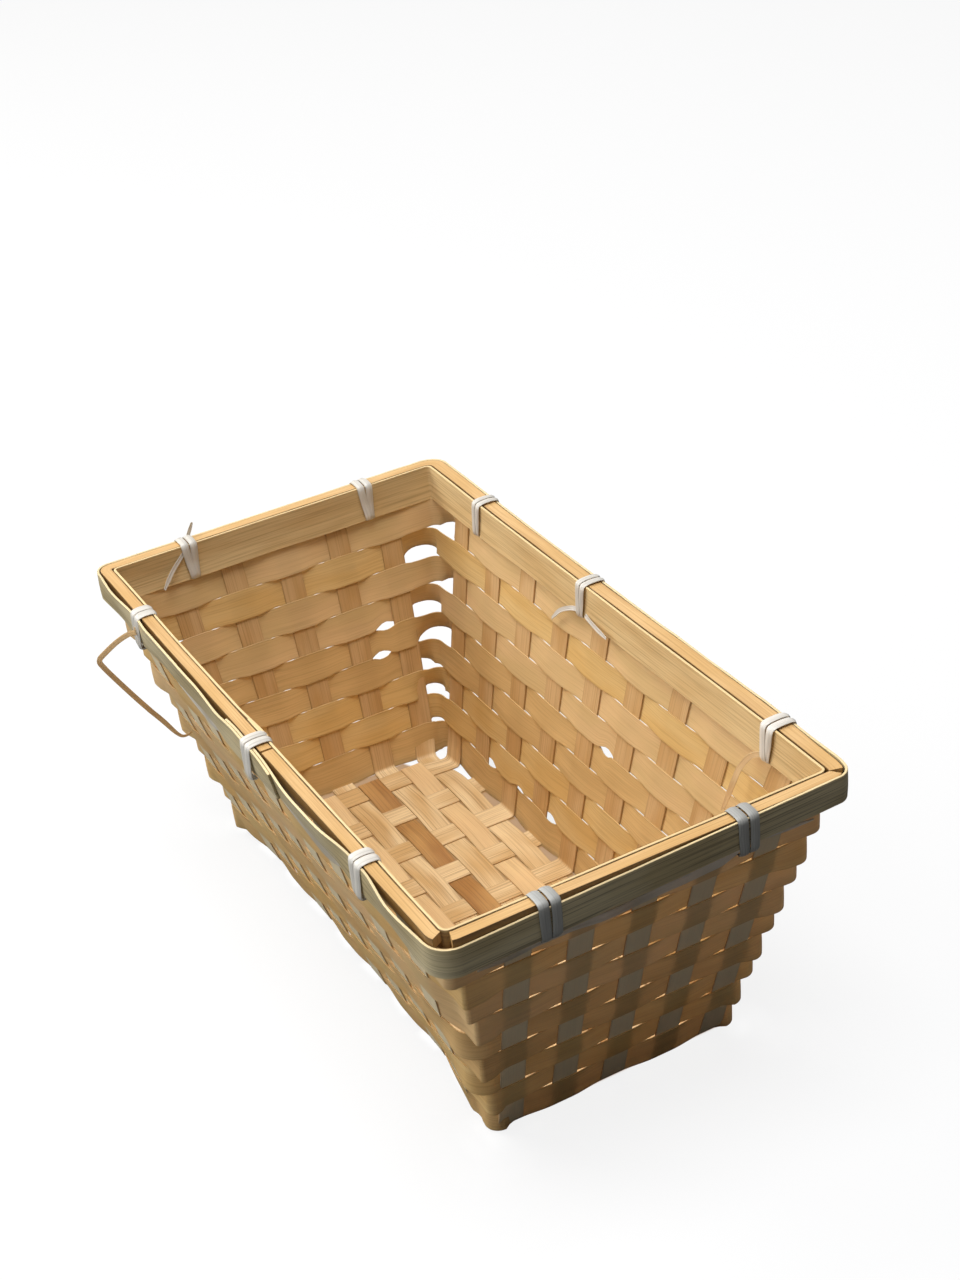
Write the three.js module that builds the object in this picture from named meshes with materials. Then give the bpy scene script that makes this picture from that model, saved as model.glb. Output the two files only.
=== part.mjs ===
import * as THREE from 'three';

// A long, narrow woven bamboo basket. X runs across it, Y along it and Z up.
// The origin is on the ground under the middle of the floor.
// All sizes are in millimetres.

// Overall sizes
const rimWidth = 152;
const rimLength = 281;
const rimHeight = 116;
const baseWidth = 98.5;
const baseLength = 213;

// Split bamboo and the space between strips that touch
const stripThickness = 0.5;
const clearance = 0.3;
const flatMargin = 0.5;
const bendRadius = 2;
const bendSteps = 4;

// Long stakes run under the floor and up the two short walls
const longStakeCount = 5;
const longStakeWidth = 9.6;
const longFloorMargin = 8.85;
const longRimMargin = 28.6;
const longRimShift = 1.5;

// Floor slats lie between the long stakes and end at the walls
const floorSlatWidth = 9.6;
const floorSlatInset = 2.2;

// Cross stakes run across the floor and up the two long walls
const crossStakeCount = 9;
const crossStakeWidth = 11;
const crossFloorMargin = 15.3;
const crossFloorShift = 4.5;
const crossRimMargin = 31.7;
const crossRimShift = 3;
const foremostLean = 6;

// Weavers run round the walls, one row above the other
const weaverCount = 10;
const weaverGap = 0.5;
const firstRowHeight = 2.8;
const topWeaverWidth = 8.2;
const weaverButtGap = 1;
const weaveCornerAtBase = 2;
const weaveCornerAtRim = 3.5;
const cornerSteps = 4;

// Rim: an outer hoop, a core strip and an inner hoop, side by side
const hoopThickness = 0.9;
const outerHoopHeight = 11;
const outerHoopCorner = 9;
const coreWidth = 4.4;
const coreHeight = 4;
const coreButtGap = 0.8;
const coreButtPlace = -14.5;
const innerHoopButtGap = 1;

// The outer hoop's ends lap on the left wall, and it bows out there
const lapFrontEnd = -28;
const lapBackEnd = 12;
const lapEaseLength = 28;
const hoopBow = 2;
const bowStep = 9;

// Pale packing strips hang between the outer hoop and the weave
const packingThickness = 0.6;
const leftPackingWidth = 7.9;
const leftPackingBack = 103;
const leftPackingFront = -93;
const leftPackingSag = 11;
const frontPackingWidth = 5;
const frontPackingHalfLength = 62;
const frontPackingSag = 2.5;
const packingStep = 7;

// Ties of split bamboo go round the rim twice
const tieWidth = 3.5;
const tieThickness = 0.5;
const tieGap = 0.4;
const tieBend = 0.6;
const tieBendSteps = 3;
const tieStub = 3;
const tailBend = 1.5;

// Finishes of the strips. The weavers' colours go from the lowest row to the highest.
const stakeFinish = { color: 0xb98d57, roughness: 0.6 };
const floorSlatFinish = { color: 0xc99350, roughness: 0.6 };
const hoopFinish = { color: 0xc9ab76, roughness: 0.5 };
const coreFinish = { color: 0xf0c27a, roughness: 0.45 };
const packingFinish = { color: 0xc9c5ba, roughness: 0.7 };
const tieFinish = { color: 0xd8d3ca, roughness: 0.5 };
const weaverRoughness = 0.6;
const weaverColours = [
  0xb08450, 0xc79c60, 0xc99f62, 0xc0945a, 0xc2965c,
  0xd0ae80, 0xd2b184, 0xc69a55, 0xd4b48a, 0xcaa873,
];

// Sizes that follow from the ones above
const weaveStep = stripThickness + clearance;
const weaveHalf = weaveStep + stripThickness / 2;
const floorMiddle = weaveHalf;
const coreBottom = rimHeight - coreHeight;
const weaveTop = coreBottom - clearance;
const topRowBottom = weaveTop - topWeaverWidth;
const tieSlotHeight = topRowBottom - clearance - tieThickness / 2;
const rowsBelowTop = weaverCount - 1;
const rowsHeight = tieSlotHeight - tieThickness / 2 - clearance - firstRowHeight;
const weaverWidth = (rowsHeight - (rowsBelowTop - 1) * weaverGap) / rowsBelowTop;
const outerHoopBottom = rimHeight - outerHoopHeight;
const rimStack = hoopThickness + clearance + coreWidth + clearance + hoopThickness;
const tiePitch = tieWidth + tieGap;
const tieHalf = (tiePitch + tieWidth) / 2;
const hoopInset = hoopThickness + clearance + packingThickness + clearance;

const { lerp, smoothstep } = THREE.MathUtils;

// The four walls, in the order in which a strip goes round them. A wall's normal points out of the
// basket and its tangent points along the strip.
const walls = {
  front: { normal: [0, -1], tangent: [1, 0], rimHalf: rimLength / 2, baseHalf: baseLength / 2 },
  right: { normal: [1, 0], tangent: [0, 1], rimHalf: rimWidth / 2, baseHalf: baseWidth / 2 },
  back: { normal: [0, 1], tangent: [-1, 0], rimHalf: rimLength / 2, baseHalf: baseLength / 2 },
  left: { normal: [-1, 0], tangent: [0, -1], rimHalf: rimWidth / 2, baseHalf: baseWidth / 2 },
};
const wallNames = Object.keys(walls);
const nextWall = (name) => wallNames[(wallNames.indexOf(name) + 1) % wallNames.length];

// A long wall runs along Y and is crossed by the cross stakes.
const isLongWall = (name) => walls[name].normal[0] !== 0;

// A place on a wall is given by a coordinate along X or Y. This turns it into a place along the strip.
const alongStrip = (name, place) => place * (walls[name].tangent[0] + walls[name].tangent[1]);

// Distance from the basket's middle to the middle surface of a wall's weave, at a height.
function weaveDistance(name, z) {
  const { rimHalf, baseHalf } = walls[name];
  return lerp(baseHalf - weaveHalf, rimHalf - hoopInset - weaveHalf, z / weaveTop);
}

// The rounded outline of the weave's middle surface, at a height.
function weaveOutline(z) {
  return {
    x: weaveDistance('right', z),
    y: weaveDistance('front', z),
    corner: lerp(weaveCornerAtBase, weaveCornerAtRim, z / weaveTop),
  };
}

// The rim's outline, moved in from the outer hoop's outer face.
function rimOutline(inset) {
  return {
    x: rimWidth / 2 - inset,
    y: rimLength / 2 - inset,
    corner: outerHoopCorner - inset,
  };
}

// A point on a rounded outline. A stop is on a wall, at a place along the strip, or on the corner
// after that wall, where turn goes from 0 to 1. The point lies out past the outline by stop.out + out.
function outlinePoint(outline, stop, z, out) {
  const wall = walls[stop.wall];
  const reach = isLongWall(stop.wall) ? outline.x : outline.y;
  const next = isLongWall(stop.wall) ? outline.y : outline.x;
  const away = stop.out + out;
  let normalPart = reach + away;
  let tangentPart = stop.along ? stop.along(z) : 0;
  if (stop.turn !== undefined) {
    const angle = stop.turn * Math.PI / 2;
    normalPart = reach - outline.corner + (outline.corner + away) * Math.cos(angle);
    tangentPart = next - outline.corner + (outline.corner + away) * Math.sin(angle);
  }
  return new THREE.Vector3(
    wall.normal[0] * normalPart + wall.tangent[0] * tangentPart,
    wall.normal[1] * normalPart + wall.tangent[1] * tangentPart,
    z,
  );
}

// The stops of a rounded corner, with the distance out changing steadily from one wall to the next.
function cornerStops(wall, outBefore, outAfter) {
  const stops = [];
  for (let step = 0; step <= cornerSteps; step += 1) {
    const turn = step / cornerSteps;
    stops.push({ wall, turn, out: lerp(outBefore, outAfter, turn) });
  }
  return stops;
}

// A solid swept through four-cornered sections. The sections' corners go inside low, outside low,
// outside high and inside high, and the sweep goes round the basket anticlockwise from above.
function sweptSolid(sections) {
  const positions = sections.flat().flatMap((corner) => [corner.x, corner.y, corner.z]);
  const triangles = [];
  for (let i = 0; i + 1 < sections.length; i += 1) {
    for (let k = 0; k < 4; k += 1) {
      const a = 4 * i + k;
      const b = 4 * i + (k + 1) % 4;
      triangles.push(a, a + 4, b + 4, a, b + 4, b);
    }
  }
  const last = 4 * (sections.length - 1);
  triangles.push(0, 1, 2, 0, 2, 3);
  triangles.push(last, last + 2, last + 1, last, last + 3, last + 2);
  const geometry = new THREE.BufferGeometry();
  geometry.setAttribute('position', new THREE.Float32BufferAttribute(positions, 3));
  geometry.setIndex(triangles);
  geometry.computeVertexNormals();
  return geometry;
}

// A path with its corners rounded. Each corner is a point with the radius of its bend, if it has one.
// Points on a loose stretch are marked, because a strip twists freely there.
function roundedPath(corners, steps) {
  const path = [];
  corners.forEach(({ point, radius, loose }, index) => {
    const isEnd = index === 0 || index === corners.length - 1;
    if (!radius || isEnd) {
      path.push({ point, loose });
      return;
    }
    const before = point.clone().sub(corners[index - 1].point).normalize();
    const after = corners[index + 1].point.clone().sub(point).normalize();
    const angle = before.angleTo(after);
    const start = point.clone().addScaledVector(before, -radius * Math.tan(angle / 2));
    const side = after.clone().addScaledVector(before, -after.dot(before)).normalize();
    const centre = start.clone().addScaledVector(side, radius);
    for (let step = 0; step <= steps; step += 1) {
      const turned = angle * step / steps;
      const bent = centre.clone()
        .addScaledVector(side, -radius * Math.cos(turned))
        .addScaledVector(before, radius * Math.sin(turned));
      path.push({ point: bent, loose });
    }
  });
  return path;
}

// The path's direction at each point, and how much a mitre there stretches a strip's thickness.
function pathDirections(path) {
  return path.map(({ point }, index) => {
    const before = path[index - 1]?.point;
    const after = path[index + 1]?.point;
    const inwards = before ? point.clone().sub(before) : after.clone().sub(point);
    inwards.normalize();
    const outwards = after ? after.clone().sub(point).normalize() : inwards;
    const tangent = inwards.clone().add(outwards).normalize();
    return { tangent, stretch: 1 / tangent.dot(inwards) };
  });
}

// The direction of a strip's width at each point. It is fixed except on loose stretches, where it is
// carried on from the fixed part and kept square to the path.
function widthDirections(path, directions, fixed) {
  const widths = path.map(() => fixed.clone());
  const carry = (index, neighbour) => {
    if (!path[index].loose) return;
    const { tangent } = directions[index];
    const carried = widths[neighbour].clone();
    widths[index] = carried.addScaledVector(tangent, -carried.dot(tangent)).normalize();
  };
  const firstFixed = path.findIndex(({ loose }) => !loose);
  for (let index = firstFixed - 1; index >= 0; index -= 1) carry(index, index + 1);
  for (let index = firstFixed + 1; index < path.length; index += 1) carry(index, index - 1);
  return widths;
}

// A flat strip along a path.
function strip(path, widthDirection, width, thickness) {
  const directions = pathDirections(path);
  const widths = widthDirections(path, directions, widthDirection);
  const sections = path.map(({ point }, index) => {
    const { tangent, stretch } = directions[index];
    const across = widths[index].clone().multiplyScalar(width / 2);
    const through = widths[index].clone().cross(tangent).setLength(thickness * stretch / 2);
    return [[-1, -1], [1, -1], [1, 1], [-1, 1]].map(([acrossSign, throughSign]) => point.clone()
      .addScaledVector(across, acrossSign)
      .addScaledVector(through, throughSign));
  });
  return sweptSolid(sections);
}

const basket = new THREE.Group();
basket.name = 'bamboo_basket';

function addPiece(name, geometry, finish) {
  const material = new THREE.MeshStandardMaterial({ ...finish, metalness: 0 });
  const mesh = new THREE.Mesh(geometry, material);
  mesh.name = name;
  basket.add(mesh);
}

const twoDigits = (number) => String(number).padStart(2, '0');

// The place of one of several stakes that stand at even steps along a length, with a margin at each end
function evenPlace(index, count, length, margin) {
  return lerp(margin - length / 2, length / 2 - margin, index / (count - 1));
}

// Places of the stakes, which fan out towards the rim. Long stakes count from the left, cross stakes
// from the front.
function longStakePlace(index, z) {
  const atFloor = evenPlace(index, longStakeCount, baseWidth, longFloorMargin);
  const atRim = evenPlace(index, longStakeCount, rimWidth, longRimMargin) + longRimShift;
  return lerp(atFloor, atRim, z / weaveTop);
}

function crossStakePlace(index, z) {
  const lean = index === 0 ? foremostLean : 0;
  const atFloor = evenPlace(index, crossStakeCount, baseLength, crossFloorMargin) + crossFloorShift;
  const atRim = evenPlace(index, crossStakeCount, rimLength, crossRimMargin) + crossRimShift - lean;
  return lerp(atFloor, atRim, z / weaveTop);
}

// The stakes that cross a wall, in the order of their places along X or Y.
function wallStakes(name) {
  return isLongWall(name)
    ? { count: crossStakeCount, width: crossStakeWidth, place: crossStakePlace }
    : { count: longStakeCount, width: longStakeWidth, place: longStakePlace };
}

// Long stakes pass under the even cross stakes on the floor and over the odd ones. Floor slats do
// the opposite.
function floorCrossings(x, startsUnder) {
  const corners = [];
  for (let index = 0; index < crossStakeCount; index += 1) {
    const isUnder = (index % 2 === 0) === startsUnder;
    const z = floorMiddle + (isUnder ? -weaveStep : weaveStep);
    const reach = crossStakeWidth / 2 + flatMargin;
    const middle = crossStakePlace(index, 0);
    corners.push({ point: new THREE.Vector3(x, middle - reach, z) });
    corners.push({ point: new THREE.Vector3(x, middle + reach, z) });
  }
  return corners;
}

function addLongStakes() {
  const acrossBasket = new THREE.Vector3(1, 0, 0);
  const floorEnd = weaveDistance('front', floorMiddle);
  const rimEnd = weaveDistance('front', weaveTop);
  for (let index = 0; index < longStakeCount; index += 1) {
    const floorX = longStakePlace(index, 0);
    const rimX = longStakePlace(index, weaveTop);
    const corners = [
      { point: new THREE.Vector3(rimX, -rimEnd, weaveTop) },
      { point: new THREE.Vector3(floorX, -floorEnd, floorMiddle), radius: bendRadius },
      ...floorCrossings(floorX, true),
      { point: new THREE.Vector3(floorX, floorEnd, floorMiddle), radius: bendRadius },
      { point: new THREE.Vector3(rimX, rimEnd, weaveTop) },
    ];
    const geometry = strip(roundedPath(corners, bendSteps), acrossBasket, longStakeWidth, stripThickness);
    addPiece(`long_stake_${index + 1}`, geometry, stakeFinish);
  }
}

function addFloorSlats() {
  const acrossBasket = new THREE.Vector3(1, 0, 0);
  const end = weaveDistance('front', 0) - floorSlatInset;
  for (let index = 0; index + 1 < longStakeCount; index += 1) {
    const x = (longStakePlace(index, 0) + longStakePlace(index + 1, 0)) / 2;
    const crossings = floorCrossings(x, false);
    const corners = [
      { point: new THREE.Vector3(x, -end, crossings[0].point.z) },
      ...crossings,
      { point: new THREE.Vector3(x, end, crossings[crossings.length - 1].point.z) },
    ];
    const geometry = strip(roundedPath(corners, bendSteps), acrossBasket, floorSlatWidth, stripThickness);
    addPiece(`floor_slat_${index + 1}`, geometry, floorSlatFinish);
  }
}

function addCrossStakes() {
  const alongBasket = new THREE.Vector3(0, -1, 0);
  const floorEnd = weaveDistance('right', floorMiddle);
  const rimEnd = weaveDistance('right', weaveTop);
  for (let index = 0; index < crossStakeCount; index += 1) {
    const floorY = crossStakePlace(index, 0);
    const rimY = crossStakePlace(index, weaveTop);
    const corners = [
      { point: new THREE.Vector3(-rimEnd, rimY, weaveTop) },
      { point: new THREE.Vector3(-floorEnd, floorY, floorMiddle), radius: bendRadius },
      { point: new THREE.Vector3(floorEnd, floorY, floorMiddle), radius: bendRadius },
      { point: new THREE.Vector3(rimEnd, rimY, weaveTop) },
    ];
    const geometry = strip(roundedPath(corners, bendSteps), alongBasket, crossStakeWidth, stripThickness);
    addPiece(`cross_stake_${index + 1}`, geometry, stakeFinish);
  }
}

// Weavers alternate at every stake, and neighbouring rows take turns. On the short walls a weaver
// passes outside a stake where row and stake add up to an odd number, on the long walls where they
// add up to an even one.
function weaverOut(wall, row, index) {
  const isOdd = (row + index) % 2 === 1;
  return isOdd === isLongWall(wall) ? -weaveStep : weaveStep;
}

// The stops where a weaver crosses one stake, and the two ends that butt behind it.
function crossingStops(wall, row, index, isButt) {
  const { width, place } = wallStakes(wall);
  const sign = alongStrip(wall, 1);
  const out = weaverOut(wall, row, index);
  const stopAt = (offset) => ({
    wall,
    out,
    along: (z) => alongStrip(wall, place(index, z) + sign * offset),
  });
  const reach = width / 2 + flatMargin;
  const entry = stopAt(-reach);
  const exit = stopAt(reach);
  if (!isButt) return [[entry, exit]];
  return [[entry, stopAt(-weaverButtGap / 2)], [stopAt(weaverButtGap / 2), exit]];
}

// One weaver's stops. Its ends butt on the left wall, behind a stake that it passes inside.
function weaverStops(row) {
  const middle = (crossStakeCount - 1) / 2;
  const buttIndex = weaverOut('left', row, middle) < 0 ? middle : middle - 1;
  const runs = [[]];
  wallNames.forEach((wall) => {
    const { count } = wallStakes(wall);
    const backwards = alongStrip(wall, 1) < 0;
    for (let step = 0; step < count; step += 1) {
      const index = backwards ? count - 1 - step : step;
      const [first, second] = crossingStops(wall, row, index, wall === 'left' && index === buttIndex);
      runs[runs.length - 1].push(...first);
      if (second) runs.push([...second]);
    }
    const lastIndex = backwards ? 0 : count - 1;
    const after = nextWall(wall);
    const firstIndex = alongStrip(after, 1) < 0 ? wallStakes(after).count - 1 : 0;
    runs[runs.length - 1].push(...cornerStops(
      wall,
      weaverOut(wall, row, lastIndex),
      weaverOut(after, row, firstIndex),
    ));
  });
  return [...runs[1], ...runs[0]];
}

// A weaver leans with the walls, but a strip bent round a corner stands upright there, so its lower
// edge comes out past the row below. The rim holds the top row to the slope of the walls.
function addWeavers() {
  for (let row = 0; row < weaverCount; row += 1) {
    const isTop = row === weaverCount - 1;
    const low = isTop ? topRowBottom : firstRowHeight + row * (weaverWidth + weaverGap);
    const high = isTop ? weaveTop : low + weaverWidth;
    const middle = weaveOutline((low + high) / 2);
    const sections = weaverStops(row).map((stop) => {
      const isUpright = stop.turn !== undefined && !isTop;
      const foot = isUpright ? middle : weaveOutline(low);
      const head = isUpright ? middle : weaveOutline(high);
      return [
        outlinePoint(foot, stop, low, -stripThickness / 2),
        outlinePoint(foot, stop, low, stripThickness / 2),
        outlinePoint(head, stop, high, stripThickness / 2),
        outlinePoint(head, stop, high, -stripThickness / 2),
      ];
    });
    const finish = { color: weaverColours[row], roughness: weaverRoughness };
    addPiece(`weaver_${twoDigits(row + 1)}`, sweptSolid(sections), finish);
  }
}

// Each tie's wall, and the bay between two stakes that it stands in. Its share is 0 where it is beside
// the first stake and 1 where it is beside the next one.
const tieBays = {
  front_left: { wall: 'front', bay: 0, share: 0.1 },
  front_right: { wall: 'front', bay: 3, share: 0.35 },
  right_front: { wall: 'right', bay: 0, share: 0.05 },
  right_middle: { wall: 'right', bay: 4, share: 0.5 },
  right_back: { wall: 'right', bay: 7, share: 0.4 },
  back_right: { wall: 'back', bay: 3, share: 0.95 },
  back_left: { wall: 'back', bay: 0, share: 0.15 },
  left_back: { wall: 'left', bay: 7, share: 0.4 },
  left_middle: { wall: 'left', bay: 3, share: 0.85 },
  left_front: { wall: 'left', bay: 0, share: 0.85 },
};

function tieCentre({ wall, bay, share }) {
  const { width, place } = wallStakes(wall);
  const margin = width / 2 + clearance + tieHalf;
  return lerp(place(bay, tieSlotHeight) + margin, place(bay + 1, tieSlotHeight) - margin, share);
}

const tiePlaces = Object.fromEntries(Object.entries(tieBays).map(([name, bay]) => (
  [name, { wall: bay.wall, centre: tieCentre(bay) }]
)));

// A swell that is 0 at both ends of a stretch and 1 in its middle.
function swell(place, start, end) {
  const share = (place - start) / (end - start);
  return share > 0 && share < 1 ? Math.sin(Math.PI * share) ** 2 : 0;
}

// How far the outer hoop stands off the core on the left wall: it bows out between the ties.
function hoopStandoff(y) {
  const middle = tiePlaces.left_middle.centre - tieHalf;
  const front = tiePlaces.left_front.centre;
  const corner = -rimLength / 2 + outerHoopCorner;
  return hoopBow * (swell(y, front + tieHalf, middle) + swell(y, corner, front - tieHalf));
}

// Stops along a wall at even steps between two places.
function spacedStops(wall, from, to, step, outAt) {
  const count = Math.ceil(Math.abs(to - from) / step);
  return Array.from({ length: count + 1 }, (_, index) => {
    const place = lerp(from, to, index / count);
    return { wall, out: outAt(place), along: () => alongStrip(wall, place) };
  });
}

// The corners between the walls that follow the left one, and back to it.
const restOfRim = () => wallNames.slice(0, 3).flatMap((wall) => cornerStops(wall, 0, 0));

function addOuterHoop() {
  const corner = rimLength / 2 - outerHoopCorner;
  const lapStep = hoopThickness + clearance;
  const easeStart = lapBackEnd + lapEaseLength;
  const lapEase = (y) => lapStep * smoothstep(easeStart - y, 0, lapEaseLength - clearance);
  const stops = [
    ...spacedStops('left', lapBackEnd, -corner + bowStep, bowStep, hoopStandoff),
    ...cornerStops('left', 0, 0),
    ...restOfRim(),
    ...spacedStops('left', corner - bowStep, lapFrontEnd, bowStep, (y) => lapEase(y) + hoopStandoff(y)),
  ];
  const outer = rimOutline(0);
  const inner = rimOutline(hoopThickness);
  const sections = stops.map((stop) => [
    outlinePoint(inner, stop, outerHoopBottom, 0),
    outlinePoint(outer, stop, outerHoopBottom, 0),
    outlinePoint(outer, stop, rimHeight, 0),
    outlinePoint(inner, stop, rimHeight, 0),
  ]);
  addPiece('outer_hoop', sweptSolid(sections), hoopFinish);
}

// Stops of a ring whose ends butt on the left wall.
function buttedStops(place, gap) {
  const stopAt = (y) => ({ wall: 'left', out: 0, along: () => alongStrip('left', y) });
  const corners = [...cornerStops('left', 0, 0), ...restOfRim()];
  return [stopAt(place - gap / 2), ...corners, stopAt(place + gap / 2)];
}

function addCore() {
  const outer = rimOutline(hoopThickness + clearance);
  const inner = rimOutline(hoopThickness + clearance + coreWidth);
  const sections = buttedStops(coreButtPlace, coreButtGap).map((stop) => [
    outlinePoint(inner, stop, coreBottom, 0),
    outlinePoint(outer, stop, coreBottom, 0),
    outlinePoint(outer, stop, rimHeight, 0),
    outlinePoint(inner, stop, rimHeight, 0),
  ]);
  addPiece('rim_core', sweptSolid(sections), coreFinish);
}

// The inner hoop leans: its top lies against the core and its foot against the weave.
function innerHoopFoot(inset) {
  const weave = weaveOutline(topRowBottom);
  const total = weaveHalf + clearance + inset;
  return { x: weave.x - total, y: weave.y - total, corner: weave.corner - total };
}

function addInnerHoop() {
  const topInset = rimStack - hoopThickness;
  const sections = buttedStops(tiePlaces.left_middle.centre, innerHoopButtGap).map((stop) => [
    outlinePoint(innerHoopFoot(hoopThickness), stop, topRowBottom, 0),
    outlinePoint(innerHoopFoot(0), stop, topRowBottom, 0),
    outlinePoint(rimOutline(topInset), stop, rimHeight, 0),
    outlinePoint(rimOutline(rimStack), stop, rimHeight, 0),
  ]);
  addPiece('inner_hoop', sweptSolid(sections), hoopFinish);
}

// A packing strip lies on the weave, and its top sags between the ties.
function addPacking(name, wall, from, to, top, width, sagAt) {
  const foot = top - width;
  const start = weaveHalf + clearance;
  const sections = spacedStops(wall, from, to, packingStep, () => 0).map((stop) => {
    const sag = sagAt(stop.along(0));
    return [
      [foot - sag, start],
      [foot - sag, start + packingThickness],
      [top - sag, start + packingThickness],
      [top - sag, start],
    ].map(([z, out]) => outlinePoint(weaveOutline(z), stop, z, out));
  });
  addPiece(name, sweptSolid(sections), packingFinish);
}

function addPackings() {
  const { left_back: back, left_middle: middle, left_front: front } = tiePlaces;
  const span = [leftPackingBack, leftPackingFront];
  addPacking('left_packing', 'left', ...span, weaveTop - clearance, leftPackingWidth, (along) => {
    const y = alongStrip('left', along);
    const rearBay = swell(y, middle.centre + tieHalf, back.centre - tieHalf);
    const frontBay = swell(y, front.centre + tieHalf, middle.centre - tieHalf);
    return leftPackingSag * (rearBay + frontBay);
  });
  const { front_left: left, front_right: right } = tiePlaces;
  const half = frontPackingHalfLength;
  const underTies = tieSlotHeight - tieThickness / 2 - clearance;
  addPacking('front_packing', 'front', -half, half, underTies, frontPackingWidth, (x) => (
    frontPackingSag * swell(x, left.centre + tieHalf, right.centre - tieHalf)
  ));
}

// The corners of a tie, in its wall's plane: along the strip, out from the basket's middle, and up.
// turn counts the wraps: each one lies beside the last.
function tieCorners(wall, centre, lift) {
  const { rimHalf } = walls[wall];
  const half = clearance + tieThickness / 2;
  const outside = rimHalf + half + lift;
  const insideTop = rimHalf - rimStack - half;
  const foot = innerHoopFoot(hoopThickness);
  const insideFoot = (isLongWall(wall) ? foot.x : foot.y) - half;
  const topHeight = rimHeight + half;
  const along = (turn) => alongStrip(wall, centre) + (turn - 0.5) * tiePitch;
  const at = (turn, out, z) => ({ place: [along(turn), out, z], radius: tieBend });
  return {
    stub: (turn) => ({ place: [along(turn), insideFoot - tieStub, tieSlotHeight] }),
    underHoop: (turn) => at(turn, outside, tieSlotHeight),
    over: (turn) => [at(turn, outside, topHeight), at(turn, insideTop, topHeight)],
    inside: (turn) => at(turn, insideFoot, tieSlotHeight),
    insideEnd: (turn) => at(turn, insideFoot, topRowBottom),
    outsideStart: (turn) => at(turn, outside, outerHoopBottom + outerHoopHeight / 2),
  };
}

// Loose ends, as steps from the place where each one leaves its tie: along the strip, out and up.
const tails = {
  rightFront: [[2, -2, -2.8], [4.6, -8.2, -8.8], [4, -11.1, -12.5], [4.9, -13, -20.9]],
  rightMiddleStart: [[-15, -1.5, -1.5], [-11, -2, -2], [-6, -2, 0]],
  rightMiddleEnd: [[6, -3, 1], [16, -4, -5]],
  backLeftSpike: [[-2.9, 0.4, 5.7]],
  backLeftEnd: [[3.3, -0.8, -2.5], [10.5, -2.1, -10.5], [13.7, -3.6, -14.5]],
  leftBack: [
    [10.9, -12, -44.5], [8.5, -5.5, -45.9], [14, 1.5, -32], [8.8, 8.5, -21.6], [-3.2, 15.5, -9.2],
  ],
};

function tail(steps, from) {
  return steps.map(([along, out, up]) => ({
    place: [from.place[0] + along, from.place[1] + out, from.place[2] + up],
    radius: tailBend,
    loose: true,
  }));
}

// The stretches of each tie before and after its two wraps.
function tieEnds(name, corners) {
  const firstWrap = [corners.underHoop(0), ...corners.over(0)];
  const insideEnd = corners.insideEnd(2);
  const plain = { start: [corners.stub(0), ...firstWrap], finish: [insideEnd] };
  const special = {
    right_front: () => ({ ...plain, finish: [insideEnd, ...tail(tails.rightFront, insideEnd)] }),
    right_middle: () => ({
      start: [...tail(tails.rightMiddleStart, corners.inside(0)), corners.inside(0), ...firstWrap],
      finish: [insideEnd, ...tail(tails.rightMiddleEnd, insideEnd)],
    }),
    back_left: () => ({
      start: [...tail(tails.backLeftSpike, corners.over(0)[0]), ...corners.over(0)],
      finish: tail(tails.backLeftEnd, corners.over(1)[1]),
    }),
    left_back: () => {
      const outsideStart = corners.outsideStart(0);
      const start = [...tail(tails.leftBack, outsideStart), outsideStart, ...corners.over(0)];
      return { ...plain, start };
    },
  };
  return special[name] ? special[name]() : plain;
}

function addTies() {
  Object.entries(tiePlaces).forEach(([name, { wall, centre }]) => {
    const { normal, tangent } = walls[wall];
    const lift = name === 'left_middle' ? hoopThickness + clearance : 0;
    const corners = tieCorners(wall, centre, lift);
    const { start, finish } = tieEnds(name, corners);
    const route = [...start, corners.inside(1), corners.underHoop(1), ...corners.over(1), ...finish];
    const points = route.map(({ place: [along, out, z], radius, loose }) => ({
      radius,
      loose,
      point: new THREE.Vector3(
        normal[0] * out + tangent[0] * along,
        normal[1] * out + tangent[1] * along,
        z,
      ),
    }));
    const path = roundedPath(points, tieBendSteps);
    const across = new THREE.Vector3(tangent[0], tangent[1], 0);
    addPiece(`tie_${name}`, strip(path, across, tieWidth, tieThickness), tieFinish);
  });
}

addLongStakes();
addFloorSlats();
addCrossStakes();
addWeavers();
addOuterHoop();
addCore();
addInnerHoop();
addPackings();
addTies();

export default basket;
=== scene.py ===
import math

import bmesh
import bpy
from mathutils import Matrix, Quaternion, Vector, noise


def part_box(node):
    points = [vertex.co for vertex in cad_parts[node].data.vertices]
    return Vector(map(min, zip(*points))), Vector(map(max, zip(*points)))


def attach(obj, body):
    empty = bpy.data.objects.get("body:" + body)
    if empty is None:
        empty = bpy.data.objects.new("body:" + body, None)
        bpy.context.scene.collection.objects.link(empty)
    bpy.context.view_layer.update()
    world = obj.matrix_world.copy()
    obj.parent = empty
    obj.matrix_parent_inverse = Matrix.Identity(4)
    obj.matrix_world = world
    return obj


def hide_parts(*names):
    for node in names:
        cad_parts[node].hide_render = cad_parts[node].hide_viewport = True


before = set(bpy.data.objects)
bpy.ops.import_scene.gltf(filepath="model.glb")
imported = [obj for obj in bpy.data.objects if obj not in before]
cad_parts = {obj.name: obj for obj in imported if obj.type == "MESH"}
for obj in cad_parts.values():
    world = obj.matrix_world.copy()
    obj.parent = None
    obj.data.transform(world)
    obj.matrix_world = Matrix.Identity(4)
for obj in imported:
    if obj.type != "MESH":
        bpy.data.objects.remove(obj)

bl_info = {
    "name": "Bamboo Basket",
    "version": (1, 0, 0),
    "blender": (4, 5, 0),
    "location": "3D View > Sidebar > Basket",
    "description": "Plaits a long, narrow basket of split bamboo over its packed frame",
    "category": "Add Mesh",
}

MM = 0.001

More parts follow.
